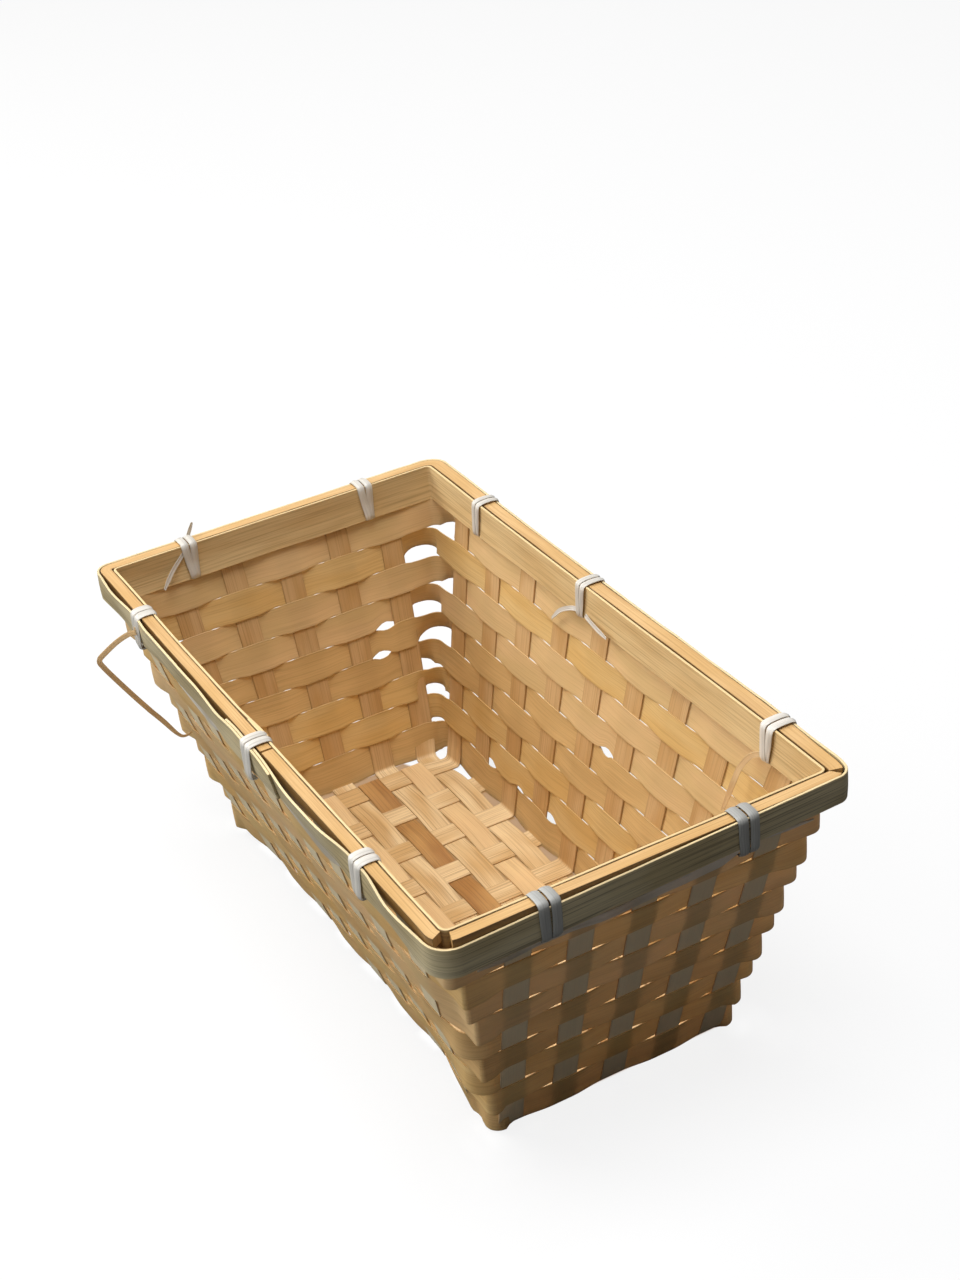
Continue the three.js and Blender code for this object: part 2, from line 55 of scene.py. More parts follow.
# The four walls in the order in which a strip goes round them: which way each one faces, and which
# way the strip runs. A corner is named after the wall before it.
WALLS = {
    "front": (Vector((0, -1, 0)), Vector((1, 0, 0))),
    "right": (Vector((1, 0, 0)), Vector((0, 1, 0))),
    "back": (Vector((0, 1, 0)), Vector((-1, 0, 0))),
    "left": (Vector((-1, 0, 0)), Vector((0, -1, 0))),
}
WALL_ORDER = list(WALLS)

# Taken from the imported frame
ROWS = [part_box(f"weaver_{number:02d}") for number in range(1, 11)]
TOP_ROW = len(ROWS) - 1
WEAVE_TOP = ROWS[TOP_ROW][1].z
CORE_LOW, CORE_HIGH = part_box("rim_core")
CORE_BOTTOM, RIM_TOP = CORE_LOW.z, CORE_HIGH.z
HOOP_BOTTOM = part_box("outer_hoop")[0].z
INNER_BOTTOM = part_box("inner_hoop")[0].z

# How finely the strips are made: steps across one, round a corner, and along one
ACROSS, HOOP_ACROSS, CORNER_STEPS = 4, 6, 8
WEAVER_STEP, FLOOR_STEP, HOOP_STEP, TIE_STEP, TAIL_STEP = 2 * MM, 2.2 * MM, 2.5 * MM, 0.8 * MM, 1 * MM

# Each seed moves the grain on by this much, in metres
GRAIN_SHIFT = 1.37


def lerp(a, b, share):
    return a + (b - a) * share


def shares(count):
    """Even steps from 0 to 1."""
    return [step / count for step in range(count + 1)]


def arch(share):
    """0 at both edges of a strip, and 1 in its middle."""
    return 1 - (2 * share - 1) ** 2


def ease(share):
    """Goes from 0 to 1 with no kink at either end."""
    share = min(max(share, 0.0), 1.0)
    return share * share * (3 - 2 * share)


def wander(point, seed, spacing):
    """An unhurried, seeded wander between about -1 and 1 over the basket."""
    return 1.6 * noise.noise(Vector((point.x / spacing, point.y / spacing, seed * 7.31 + 0.5)))


def linear(hex_colour):
    """The linear red, green and blue of an sRGB hex colour."""
    parts = [int(hex_colour[i : i + 2], 16) / 255 for i in (1, 3, 5)]
    return [c / 12.92 if c <= 0.04045 else ((c + 0.055) / 1.055) ** 2.4 for c in parts]


def is_long(wall):
    return WALLS[wall][0].x != 0


def wall_before(wall):
    return WALL_ORDER[WALL_ORDER.index(wall) - 1]


def wall_after(wall):
    return WALL_ORDER[(WALL_ORDER.index(wall) + 1) % len(WALL_ORDER)]


def on_wall(wall, along, out, z):
    """A point given along a wall, out from the basket's middle, and up."""
    normal, tangent = WALLS[wall]
    return normal * out + tangent * along + Vector((0, 0, z))


def around(straights, start, end, spacing):
    """Stations once round the basket, from one place on the left wall to another.

    A station is (wall, place along it, None), or (wall, None, turn) on the corner after it.
    straights gives the first and last place of each wall's straight part."""
    runs = [("left", start, straights["left"][1])]
    runs += [(wall, *straights[wall]) for wall in WALL_ORDER if wall != "left"]
    stations = []
    for wall, first, last in runs:
        steps = shares(max(1, round((last - first) / spacing)))
        stations += [(wall, lerp(first, last, share), None) for share in steps]
        stations += [(wall, None, (step + 0.5) / CORNER_STEPS) for step in range(CORNER_STEPS)]
    first = straights["left"][0]
    steps = shares(max(1, round((end - first) / spacing)))
    return stations + [("left", lerp(first, end, share), None) for share in steps]


class Ring:
    """An even ring: how far it reaches across and lengthwise, and its radius at each corner."""

    def __init__(self, across, lengthwise, corners):
        self.across = across
        self.lengthwise = lengthwise
        self.corners = corners

    def reach(self, wall):
        return self.across if is_long(wall) else self.lengthwise

    def stations(self, start, end, spacing):
        straights = {}
        for wall in WALLS:
            side = self.reach(wall_after(wall))
            straights[wall] = (self.corners[wall_before(wall)] - side, side - self.corners[wall])
        return around(straights, start, end, spacing)

    def point(self, station, out, z):
        """A point on the ring, moved out."""
        wall, place, turn = station
        if turn is None:
            return on_wall(wall, place, self.reach(wall) + out, z)
        corner, angle = self.corners[wall], turn * math.pi / 2
        along = self.reach(wall_after(wall)) - corner + (corner + out) * math.sin(angle)
        return on_wall(wall, along, self.reach(wall) - corner + (corner + out) * math.cos(angle), z)

    def towards(self, other, share):
        corners = {wall: lerp(radius, other.corners[wall], share) for wall, radius in self.corners.items()}
        across = lerp(self.across, other.across, share)
        return Ring(across, lerp(self.lengthwise, other.lengthwise, share), corners)


def wave(place, spots, hold):
    """Eases from spot to spot, and stays level for a little beside each one."""
    for (start, low), (end, high) in zip(spots, spots[1:]):
        if place <= end:
            still = min(hold, 0.3 * (end - start))
            return lerp(low, high, ease((place - start - still) / (end - start - 2 * still)))
    return spots[-1][1]


# How many stakes run across and the long way. Then, in millimetres, how far it is from one to the
# next, and how far the middle one stands off the basket's middle: on the floor, and at the weave's top
COUNTS = {"cross": 9, "long": 5}
SPACINGS = {"cross": ((22.8, 4.5), (27.2, 3)), "long": ((20.2, 0), (23.7, 1.5))}

# The first cross stake leans this far forward at the top, in millimetres
FIRST_STAKE_LEAN = 6

# At the top the weave's outer face lies this far in from the core's
RIM_INSET = 0.9 * MM

# A strip stays at full depth for this far beside the middle of one that it crosses
HOLD = 4 * MM


class Weave:
    """Where the weave's walls and stakes lie, from the sizes in the panel."""

    def __init__(self, sizes):
        self.thickness = sizes.strip_thickness
        self.layer = sizes.layer_step
        self.floor_level = self.layer + self.thickness / 2
        self.widths = {"cross": sizes.cross_stake_width, "long": sizes.long_stake_width}
        depth = sizes.weave_depth
        inset = RIM_INSET + depth
        self.base = (sizes.base_width / 2 - depth, sizes.base_length / 2 - depth)
        rim = (CORE_HIGH.x - inset, CORE_HIGH.y - inset)
        self.slopes = [(high - low) / WEAVE_TOP for low, high in zip(self.base, rim)]

    def reach(self, wall, z):
        side = 0 if is_long(wall) else 1
        return self.base[side] + self.slopes[side] * z

    def stake_place(self, kind, index, z):
        """How far along or across the basket a stake stands at a height."""
        steps = index - COUNTS[kind] // 2
        low, high = (pitch * steps + shift for pitch, shift in SPACINGS[kind])
        lean = FIRST_STAKE_LEAN if kind == "cross" and index == 0 else 0
        return lerp(low, high - lean, z / WEAVE_TOP) * MM

    def stake_places(self, wall, z):
        """The stakes that cross a wall, as (index, place along the strip), in the strip's order."""
        kind = "cross" if is_long(wall) else "long"
        tangent = WALLS[wall][1]
        sign = tangent.x + tangent.y
        places = [(index, sign * self.stake_place(kind, index, z)) for index in range(COUNTS[kind])]
        return places if sign > 0 else places[::-1]


# A weaver's ends lap by twice this length behind a stake
END_LAP = 7 * MM

# A weaver's corners: their radius, how far out they lie beside a stake that the weaver passes outside
# or inside, and the radius of the top row's
BEND_RADIUS = 4.5 * MM
BEND_OUTSIDE, BEND_INSIDE = 1.2 * MM, -0.8 * MM
TOP_BEND_RADIUS = 3.4 * MM

# At the back right corner the lower edge of some weavers curls out and leaves a hole: the row,
# counted from 0 at the bottom, and from where to where, in millimetres past the corner's middle
CORNER_HOLES = {
    2: (-1, 12), 3: (1, 15), 4: (-8, 12), 5: (-5, 20), 6: (-14, -2), 7: (-3, 16), 8: (-15, -2),
}

# Small holes under a weaver: its row, its wall, and from where to where along it, in millimetres
SMALL_HOLES = (
    (1, "right", 63, 72), (1, "right", 40, 49), (1, "right", 15, 25), (5, "right", -15, -7),
    (5, "back", -41, -32), (4, "back", -36, -27.5),
)

# The front left corner, row by row from the lowest, where some strips broke into a crease and others
# bent round: the bend's radius, and how far out the strip lies on the left wall, in millimetres
FRONT_LEFT_BENDS = (
    (5, -2), (2.5, -2), (7, 0.6), (1.2, -2.4), (8, 0.5), (1.2, -4), (1.2, -3.6), (1.2, -3), (3, 0),
)

# How upright the weavers stand at the corner after each wall, where 0 is as they lean on the walls.
# They ease into it from this far past a wall's last stake, over at least the other length.
UPRIGHT = {"front": 1.0, "right": 0.5, "back": 1.0, "left": 1.0}
UPRIGHT_START, UPRIGHT_LENGTH = 2 * MM, 3 * MM

# A weaver can be pressed to the last stake of a wall up to this far past it
PRESS_ROOM = 6 * MM

# Half the gap between two rows on each wall, where they lie at one depth and where a stake parts them
# and they can overlap, in millimetres
ROW_GAPS = {"front": (0.1, 0.12), "right": (0.03, -0.28), "back": (0, -0.36), "left": (0.08, -0.02)}

# How far the edge that two rows share wanders, over which distance
EDGE_WANDER, EDGE_SPACING = 0.22 * MM, 26 * MM

# How high the lowest weaver hangs over the ground, how much higher at the back right corner, and from
# where to where past that corner's middle, in millimetres
GROUND_GAP, CORNER_LIFT = 0.45, 1.6
LIFTED = (-11, 2)

# How far the weavers over and under a small hole draw back from it, in millimetres
HOLE_ABOVE, HOLE_BELOW = 1.8, 1.2


def dome(place, start, end):
    """A blunt swell: 0 at both ends of a stretch, and near 1 over most of it."""
    share = (place - start) / (end - start) if start < end else 0.0
    return math.sin(math.pi * share) ** 0.6 if 0 < share < 1 else 0.0


def row_border(number):
    """The height between a row and the one below it."""
    return (ROWS[number][0].z + ROWS[number - 1][1].z) / 2


class Row:
    """A row of the weave, counted from 0 at the bottom, and where its weaver runs."""

    def __init__(self, weave, number):
        self.weave = weave
        self.number = number
        self.level = (ROWS[number][0].z + ROWS[number][1].z) / 2
        self.stakes = {wall: weave.stake_places(wall, self.level) for wall in WALLS}
        self.bends = {wall: self.bend(wall) for wall in WALLS}
        self.straights = {wall: self.straight(wall) for wall in WALLS}

    def side(self, wall, index):
        """1 where the weaver passes outside a stake, and -1 where it passes inside."""
        is_odd = (self.number + index) % 2 == 1
        return -1 if is_odd == is_long(wall) else 1

    def bend(self, wall):
        """The corner after a wall: its radius, and how far out it lies on both its walls."""
        if self.number == TOP_ROW:
            return TOP_BEND_RADIUS, 0.0, 0.0
        after = wall_after(wall)
        sides = self.side(wall, self.stakes[wall][-1][0]), self.side(after, self.stakes[after][0][0])
        out_here, out_next = (BEND_OUTSIDE if side > 0 else BEND_INSIDE for side in sides)
        if wall == "left":
            radius, out_here = FRONT_LEFT_BENDS[self.number]
            return radius * MM, out_here * MM, out_next
        return BEND_RADIUS, out_here, out_next

    def straight(self, wall):
        """The first and last place of the weaver's straight part on a wall."""
        side = self.weave.reach(wall_after(wall), self.level)
        start_radius, start_out, _ = self.bends[wall_before(wall)]
        end_radius, _, end_out = self.bends[wall]
        return start_radius - start_out - side, side + end_out - end_radius

    def spots(self, wall):
        """(place, out) of the weaver at both corners of a wall and where it crosses the stakes."""
        first, last = self.straights[wall]
        layer = self.weave.layer
        crossings = [(place, layer * self.side(wall, index)) for index, place in self.stakes[wall]]
        return [(first, self.bends[wall_before(wall)][2]), *crossings, (last, self.bends[wall][1])]

    def lean(self, station):
        """1 where the weaver leans with its wall, and 0 where it stands upright."""
        if self.number == TOP_ROW:
            return 1.0
        wall, place, turn = station
        if turn is not None:
            return 1 - UPRIGHT[wall]
        first, last = self.straights[wall]
        stakes = self.stakes[wall]
        start_room = max(stakes[0][1] - first - UPRIGHT_START, UPRIGHT_LENGTH)
        end_room = max(last - stakes[-1][1] - UPRIGHT_START, UPRIGHT_LENGTH)
        at_start = UPRIGHT[wall_before(wall)] * (1 - ease((place - first) / start_room))
        return 1 - max(at_start, UPRIGHT[wall] * (1 - ease((last - place) / end_room)))

    def pressed(self, station, depth):
        """1 where the weaver is pressed to a stake, and 0 where it changes sides or turns a corner."""
        wall, place, turn = station
        stakes = self.stakes[wall]
        if turn is not None or not stakes[0][1] - PRESS_ROOM < place < stakes[-1][1] + PRESS_ROOM:
            return 0.0
        return ease(2 * abs(depth) / self.weave.layer - 1)

    def past_corner(self, station):
        """How far a station lies past the middle of the back right corner, along the weaver."""
        wall, place, turn = station
        half_bend = self.bends["right"][0] * math.pi / 4
        if wall == "right":
            if turn is not None:
                return (2 * turn - 1) * half_bend
            return place - self.straights["right"][1] - half_bend
        if wall == "back" and turn is None:
            return place - self.straights["back"][0] + half_bend
        return math.inf

    def line(self):
        """The weaver's middle line: its point, facing and press at each station, and the station.

        It starts and ends behind the fourth or the fifth cross stake of the left wall."""
        join = -self.weave.stake_place("cross", 3 + self.number % 2, self.level)
        spots = {wall: self.spots(wall) for wall in WALLS}
        line = []
        for station in around(self.straights, join - END_LAP, join + END_LAP, WEAVER_STEP):
            wall, place, turn = station
            normal, tangent = WALLS[wall]
            reach = self.weave.reach(wall, self.level)
            depth = 0.0
            if turn is None:
                facing = normal
                depth = wave(place, spots[wall], HOLD)
                point = on_wall(wall, place, reach + depth, 0)
            else:
                radius, out_here, out_next = self.bends[wall]
                angle = turn * math.pi / 2
                facing = normal * math.cos(angle) + tangent * math.sin(angle)
                along = self.weave.reach(wall_after(wall), self.level) + out_next - radius
                point = on_wall(wall, along, reach + out_here - radius, 0) + facing * radius
            line.append((point, facing, self.pressed(station, depth), station))
        return line

    def edges(self, point, pressed, station):
        """The heights of the weaver's edges.

        Neighbours overlap a little where a stake parts them, and their shared edge wanders."""
        wall, place, turn = station
        number = self.number
        gap = lerp(*ROW_GAPS[wall], pressed) * MM
        if number > 0:
            low = row_border(number) + gap + EDGE_WANDER * wander(point, number, EDGE_SPACING)
        else:
            low = (GROUND_GAP + CORNER_LIFT * dome(self.past_corner(station) / MM, *LIFTED)) * MM
        high = ROWS[number][1].z
        if number < TOP_ROW:
            high = row_border(number + 1) - gap + EDGE_WANDER * wander(point, number + 1, EDGE_SPACING)
        for upper, hole_wall, start, end in SMALL_HOLES:
            if turn is None and wall == hole_wall:
                opening = dome(place / MM, start, end) * MM
                low += HOLE_ABOVE * opening if number == upper else 0.0
                high -= HOLE_BELOW * opening if number == upper - 1 else 0.0
        return low, high


def sprung(point):
    """Moves a point of the true basket to where it lies in one that has sprung out of shape.

    The floor's left edge has risen and drawn in between its corners, and the rim bulges out on the
    right and stands a little high at the back."""
    x, y, z = point / MM
    left = ease((-8 - x) / 34) * max(1 - z / 75, 0)
    left *= lerp(ease((y + 106) / 42), 0.6, ease((y - 60) / 46))
    rim = ease((z - 98) / 12)
    bulge = wave(y, ((-141, 0.2), (-131, 1.7), (-95, 2.9), (-50, 2.5), (0, 2), (141, 1.9)), 0)
    x += 3.5 * left + bulge * rim * ease((x - 66) / 9)
    y += 1.5 * rim * ease((y - 100) / 36)
    z += 5 * left + rim * ease((y - 60) / 70)
    return Vector((x, y, z)) * MM


def lay_strip(node, runs, thickness, material, seed, edge=0.12 * MM, tails=None):
    """Makes a flat strip as a solid, in place of its CAD node. Each run is a list of columns of
    points across the strip, and edge is how wide its worn edges are.

    The UV map is in metres: U along the strip, moved on for each seed, and V across it. The edge
    attribute is 1 along both edges. Runs after the second can have a material of their own."""
    name = f"{node}_strip"
    bm = bmesh.new()
    uv = bm.loops.layers.uv.new("strip")
    on_edge = bm.verts.layers.float.new("edge")
    for run, columns in enumerate(runs):
        length_steps, width_steps = len(columns) - 1, len(columns[0]) - 1
        made = bmesh.ops.create_grid(bm, x_segments=length_steps, y_segments=width_steps, size=0.5)
        travelled = [GRAIN_SHIFT * seed]
        middle = width_steps // 2
        for before, after in zip(columns, columns[1:]):
            travelled.append(travelled[-1] + (after[middle] - before[middle]).length)
        width = sum((b - a).length for a, b in zip(columns[0], columns[0][1:]))
        cell = {}
        for vertex in made["verts"]:
            i = round((vertex.co.x + 0.5) * length_steps)
            j = round((vertex.co.y + 0.5) * width_steps)
            cell[vertex] = (i, j)
            vertex.co = sprung(columns[i][j])
            vertex[on_edge] = 1.0 if j in (0, width_steps) else 0.0
        for face in bm.faces:
            if face.verts[0] in cell:
                face.material_index = 1 if tails and run > 1 else 0
                for loop in face.loops:
                    i, j = cell[loop.vert]
                    loop[uv].uv = (travelled[i], width * (j / width_steps - 0.5))
    mesh = bpy.data.meshes.new(name)
    bm.to_mesh(mesh)
    bm.free()
    mesh.materials.append(material)
    if tails:
        mesh.materials.append(tails)
    mesh.shade_smooth()
    piece = bpy.data.objects.new(name, mesh)
    bpy.context.scene.collection.objects.link(piece)
    shell = piece.modifiers.new("Thickness", "SOLIDIFY")
    shell.thickness = thickness
    shell.offset = 0
    shell.use_even_offset = True
    soften = piece.modifiers.new("Worn edges", "BEVEL")
    soften.width = edge
    soften.segments = 2
    soften.limit_method = "ANGLE"
    soften.angle_limit = math.radians(50)
    soften.harden_normals = True
    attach(piece, "root")
    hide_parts(node)


def empty_tree(owner):
    """The node tree of a new material or world, with nothing in it."""
    owner.use_nodes = True
    owner.node_tree.nodes.clear()
    return owner.node_tree


def add_node(tree, kind, inputs=(), **settings):
    """Adds a node with its settings. Inputs are (socket, value, or the output or node to link)."""
    node = tree.nodes.new(kind)
    for key, value in settings.items():
        setattr(node, key, value)
    for key, value in inputs:
        if isinstance(value, bpy.types.Node):
            value = value.outputs[0]
        if isinstance(value, bpy.types.NodeSocket):
            tree.links.new(value, node.inputs[key])
        else:
            node.inputs[key].default_value = value
    return node


# From where on a strip's edge shows, and how strongly its colour does: the given edge colour, which is
# the cut edge's on the hoops and painted shade on the core's sides, or else the darker fibre colour,
# for worn edges and for painted shade where strips meet
EDGE_START = 0.72
CUT_EDGE_AND_SHADE, WORN_EDGE_AND_SHADE = 0.85, 0.35


def split_bamboo(
    name, colour, tint, fibre, spacing, depth,
    lines=0.0, roughness=0.5, through=0.2, edge=None, faces=(),
):
    """Split bamboo: straight fibres along the strip, soft streaks and slow changes of tint.

    spacing is the fibres' in millimetres. lines gives thin dark lines between them, through is how
    much light the thin strip lets pass, and edge is the colour painted along its edges: that of cut
    edges, or painted shade in a gap. faces paints other colours on faces by how steeply they look up
    or down, as painted light and shade: the colour, how steeply they look up where it starts and
    where it is full, and how much of it."""
    material = bpy.data.materials.new(name)
    tree = empty_tree(material)
    strip = add_node(tree, "ShaderNodeUVMap", uv_map="strip").outputs["UV"]
    fibre_shade = (*linear(fibre), 1)
    layers = (
        # how far the pattern stretches along and across in millimetres, its detail, the noise that
        # shows least and most, how much of the colour, and the colour
        (45, 13, 2, 0.38, 0.64, 1.0, (*linear(tint), 1)),
        (110, 2.4, 3, 0.45, 0.75, 0.4 * depth, fibre_shade),
        (30, spacing, 2, 0.46, 0.7, depth, fibre_shade),
        (80, spacing * 1.3, 1, 0.6, 0.68, lines, fibre_shade),
    )
    coats = []
    for along, across, detail, *coat in layers:
        scale = (1 / (along * MM), 1 / (across * MM), 1)
        stretched = add_node(tree, "ShaderNodeMapping", [("Vector", strip), ("Scale", scale)])
        sockets = [("Vector", stretched), ("Scale", 1.0), ("Detail", detail)]
        grain = add_node(tree, "ShaderNodeTexNoise", sockets, noise_dimensions="2D")
        coats.append((grain.outputs["Fac"], *coat))
    # Colours by how steeply a face looks up or down: painted light and shade
    if faces:
        normal = add_node(tree, "ShaderNodeNewGeometry").outputs["Normal"]
        upward = add_node(tree, "ShaderNodeSeparateXYZ", [("Vector", normal)]).outputs["Z"]
        coats += [(upward, start, full, amount, (*linear(over), 1)) for over, start, full, amount in faces]
    # Colours the strip along its edges: cut and worn edges, and painted shade between strips
    near_edge = add_node(tree, "ShaderNodeAttribute", attribute_name="edge").outputs["Fac"]
    coats.append((near_edge, EDGE_START, 1.0, CUT_EDGE_AND_SHADE if edge else WORN_EDGE_AND_SHADE, (*linear(edge or fibre), 1)))
    shade = (*colour, 1)
    shown = []
    for value, low, high, amount, over in coats:
        sockets = [("Value", value), ("From Min", low), ("From Max", high), ("To Max", amount)]
        shown.append(add_node(tree, "ShaderNodeMapRange", sockets))
        sockets = [(0, shown[-1]), (6, shade), (7, over)]
        shade = add_node(tree, "ShaderNodeMix", sockets, data_type="RGBA").outputs[2]
    # The fibres of the third layer stand in fine grooves
    sockets = [("Height", shown[2]), ("Strength", 0.35), ("Distance", 0.1 * MM)]
    bump = add_node(tree, "ShaderNodeBump", sockets, invert=True)
    sockets = [("Base Color", shade), ("Roughness", roughness), ("IOR", 1.5), ("Normal", bump)]
    surface = add_node(tree, "ShaderNodeBsdfPrincipled", sockets)
    # Light that passes through takes on a warm glow
    sockets = [(0, 0.75), (6, shade), (7, (*linear("#ffe6c6"), 1))]
    glow = add_node(tree, "ShaderNodeMix", sockets, data_type="RGBA").outputs[2]
    lit_through = add_node(tree, "ShaderNodeBsdfTranslucent", [("Color", glow)])
    sockets = [(0, through), (1, surface), (2, lit_through)]
    both = add_node(tree, "ShaderNodeMixShader", sockets)
    add_node(tree, "ShaderNodeOutputMaterial", [("Surface", both)])
    return material


def length_property(name, description, millimetres):
    return bpy.props.FloatProperty(
        name=name, description=description, default=millimetres * MM, unit="LENGTH", precision=5
    )


# The widest of the ties, in millimetres
WIDEST_TIE = 3.7


class BasketSizes(bpy.types.PropertyGroup):
    """Sizes of the basket's strips"""

    base_width: length_property("Base width", "Outside width of the woven floor", 98.5)
    base_length: length_property("Base length", "Outside length of the woven floor", 213)
    weave_depth: length_property("Weave depth", "From the weave's outer face to its middle", 1.05)
    strip_thickness: length_property("Strip thickness", "Thickness of the stakes, slats and weavers", 0.5)
    layer_step: length_property(
        "Layer step", "From the middle of a strip to the middle of the one that it crosses", 0.55
    )
    long_stake_width: length_property(
        "Long stake width", "Width of the stakes that run the long way, and of the floor slats", 9.6
    )
    cross_stake_width: length_property(
        "Cross stake width", "Width of the stakes that run across the floor and up the long walls", 11
    )
    corner_curl: length_property(
        "Corner curl", "How far the weavers' lower edges curl out at the back right corner", 4.5
    )
    tie_width: length_property("Tie width", "Width of the widest strips that bind the rim", WIDEST_TIE)


def colour_property(name, description, hex_colour):
    return bpy.props.FloatVectorProperty(
        name=name, description=description, subtype="COLOR", min=0, max=1, default=linear(hex_colour)
    )


class BasketColours(bpy.types.PropertyGroup):
    """Colours of the basket's bamboo"""

    stake: colour_property("Stakes", "Stakes of the walls and floor", "#f2d6a4")
    slat: colour_property("Floor slats", "Slats between the long stakes", "#f6d8a2")
    honey: colour_property("Honey weavers", "Rows of brown, matte bamboo", "#e4c184")
    golden: colour_property("Golden weavers", "Rows of yellower bamboo", "#e2bd78")
    pale: colour_property("Pale weavers", "Rows with a pinkish cast", "#e8c792")
    outer_hoop: colour_property("Outer hoop", "Outer hoop of the rim", "#d2c29a")
    inner_hoop: colour_property("Inner hoop", "Inner hoop of the rim", "#e2c692")
    core: colour_property("Core", "Strip between the hoops", "#d2a86a")
    packing: colour_property("Packing", "Bleached strips below the outer hoop", "#f4f2ea")
    tie: colour_property("Ties", "Bleached strips that bind the rim", "#e9e5dc")


# Which bamboo each row is plaited from, from the lowest
ROW_KINDS = (
    "honey", "golden", "golden", "honey", "honey", "pale", "pale", "golden", "pale", "honey",
)


def weaver_materials(colours):
    """Split bamboo of three tints. Each is planed, so it is matte with soft streaks and few lines."""
    return {
        "honey": split_bamboo("Split bamboo, honey", colours.honey, "#d8b478", "#a07a42", 0.5, 0.3),
        "golden": split_bamboo("Split bamboo, golden", colours.golden, "#e8c98a", "#a87c40", 0.5, 0.3),
        "pale": split_bamboo("Split bamboo, pale", colours.pale, "#dec088", "#a88450", 0.5, 0.25),
    }


# How far a weaver bows out across its width, and how far its last end tucks in behind the first
WEAVER_BOW, WEAVER_TUCK = 0.12 * MM, 0.5 * MM


class BASKET_OT_weavers(bpy.types.Operator):
    """Plaits the ten rows of weavers round the stakes"""

    bl_idname = "basket.weavers"
    bl_label = "Weavers"

    def execute(self, context):
        weave = Weave(context.scene.basket_sizes)
        materials = weaver_materials(context.scene.basket_colours)
        slopes = Vector((*weave.slopes, 0))
        curl_out = context.scene.basket_sizes.corner_curl
        for number, kind in enumerate(ROW_KINDS):
            row = Row(weave, number)
            line = row.line()
            columns = []
            for step, (point, facing, pressed, station) in enumerate(line):
                low, high = row.edges(point, pressed, station)
                lean = row.lean(station)
                curl = dome(row.past_corner(station) / MM, *CORNER_HOLES.get(number, (0, 0)))
                tucked = end_tuck(step, len(line), WEAVER_STEP, 3 * END_LAP, WEAVER_TUCK)
                column = []
                for share in shares(ACROSS):
                    z = lerp(low, high, share)
                    curled = curl * (1 - share) ** 1.5
                    out = facing * (WEAVER_BOW * arch(share) - tucked + curled * curl_out)
                    out += lean * (z - row.level) * slopes * facing
                    column.append(point + out + Vector((0, 0, z + curled * 0.5 * curl_out)))
                columns.append(column)
            node, slot = f"weaver_{number + 1:02d}", f"weaver_{kind}"
            lay_strip(node, [columns], weave.thickness, materials[kind], number)
        return {"FINISHED"}


def end_tuck(number, count, step, reach, depth):
    """How far the last end of a strip round the basket tucks in behind its first."""
    if number <= count / 2:
        return 0.0
    return depth * (1 - ease((count - 1 - number) * step / reach))


class BASKET_OT_stakes(bpy.types.Operator):
    """Lays the long and the cross stakes on the floor and up the walls"""

    bl_idname = "basket.stakes"
    bl_label = "Stakes"

    def execute(self, context):
        weave = Weave(context.scene.basket_sizes)
        # Split rather than planed, so fine dark lines of broken fibre run down each stake. Faces that look
        # sideways, up the walls, are painted a darker brown: painted shade. Faces that look down, outside
        # the walls, show their pale skin side, painted paler still as painted light on faces that lie in
        # shade.
        material = split_bamboo(
            "Split bamboo, stakes", context.scene.basket_colours.stake, "#d8b278", "#8a6032", 0.4, 0.3,
            lines=0.45, roughness=0.55, faces=(("#c89a5e", 0.9, 0.5, 0.5), ("#f6f2d2", 0.0, -0.12, 0.66)),
        )
        for kind, seed in (("long", 20), ("cross", 30)):
            for index in range(COUNTS[kind]):
                columns = stake_columns(weave, kind, index)
                node = f"{kind}_stake_{index + 1}"
                lay_strip(node, [columns], weave.thickness, material, seed + index)
        return {"FINISHED"}


# The radius with which a stake bends up into its wall, and the steps over the bend and up the wall
STAKE_BEND = 2 * MM
BEND_STEPS, WALL_STEPS = 6, 40


def wall_profile(weave, wall):
    """(distance from the middle, height) of a stake from the floor up a wall, with a round bend."""
    slope = weave.slopes[0 if is_long(wall) else 1]
    reach = weave.reach(wall, weave.floor_level)
    angle = math.atan2(1, slope)
    start = reach - STAKE_BEND * math.tan(angle / 2)
    profile = []
    for share in shares(BEND_STEPS):
        turned = angle * share
        height = weave.floor_level + STAKE_BEND * (1 - math.cos(turned))
        profile.append((start + STAKE_BEND * math.sin(turned), height))
    bend_top = profile[-1][1]
    for share in shares(WALL_STEPS)[1:]:
        z = lerp(bend_top, WEAVE_TOP, share)
        profile.append((reach + slope * (z - weave.floor_level), z))
    return profile


def stake_columns(weave, kind, index):
    """The points of a stake from the rim of one wall, over the floor, to the rim of the other."""
    is_cross = kind == "cross"
    halves = []
    for wall, sign in (("left", -1), ("right", 1)) if is_cross else (("front", -1), ("back", 1)):
        profile = wall_profile(weave, wall)
        halves.append([(sign * out, weave.stake_place(kind, index, z), z) for out, z in profile])
    start, end = halves[0][0][0], halves[1][0][0]
    floor = floor_run(weave, start, end, weave.stake_place(kind, index, 0), 0 if is_cross else -1)
    across = Vector((0, 1, 0)) if is_cross else Vector((1, 0, 0))
    columns = []
    for lengthwise, sideways, z in halves[0][::-1] + floor + halves[1]:
        middle = Vector((lengthwise, sideways, z) if is_cross else (sideways, lengthwise, z))
        offsets = [weave.widths[kind] * (share - 0.5) for share in shares(ACROSS)]
        columns.append([off_corner(middle + across * offset) for offset in offsets])
    return columns


# The hole in the floor: its corner, how far from there and how high up the strips still draw away
# from it, and how far they do, in millimetres
FLOOR_CORNER = (49, 105)
HOLE_REACH, HOLE_HEIGHT = 24, 8
HOLE_PULL = (-2.5, -3.5, 0)


def off_corner(point):
    """Draws the strips of the floor away from its back right corner, which leaves a hole there."""
    x, y, z = point / MM
    distance = math.hypot(x - FLOOR_CORNER[0], y - FLOOR_CORNER[1])
    share = ease(1 - distance / HOLE_REACH) * max(1 - z / HOLE_HEIGHT, 0)
    return point + share * Vector(HOLE_PULL) * MM


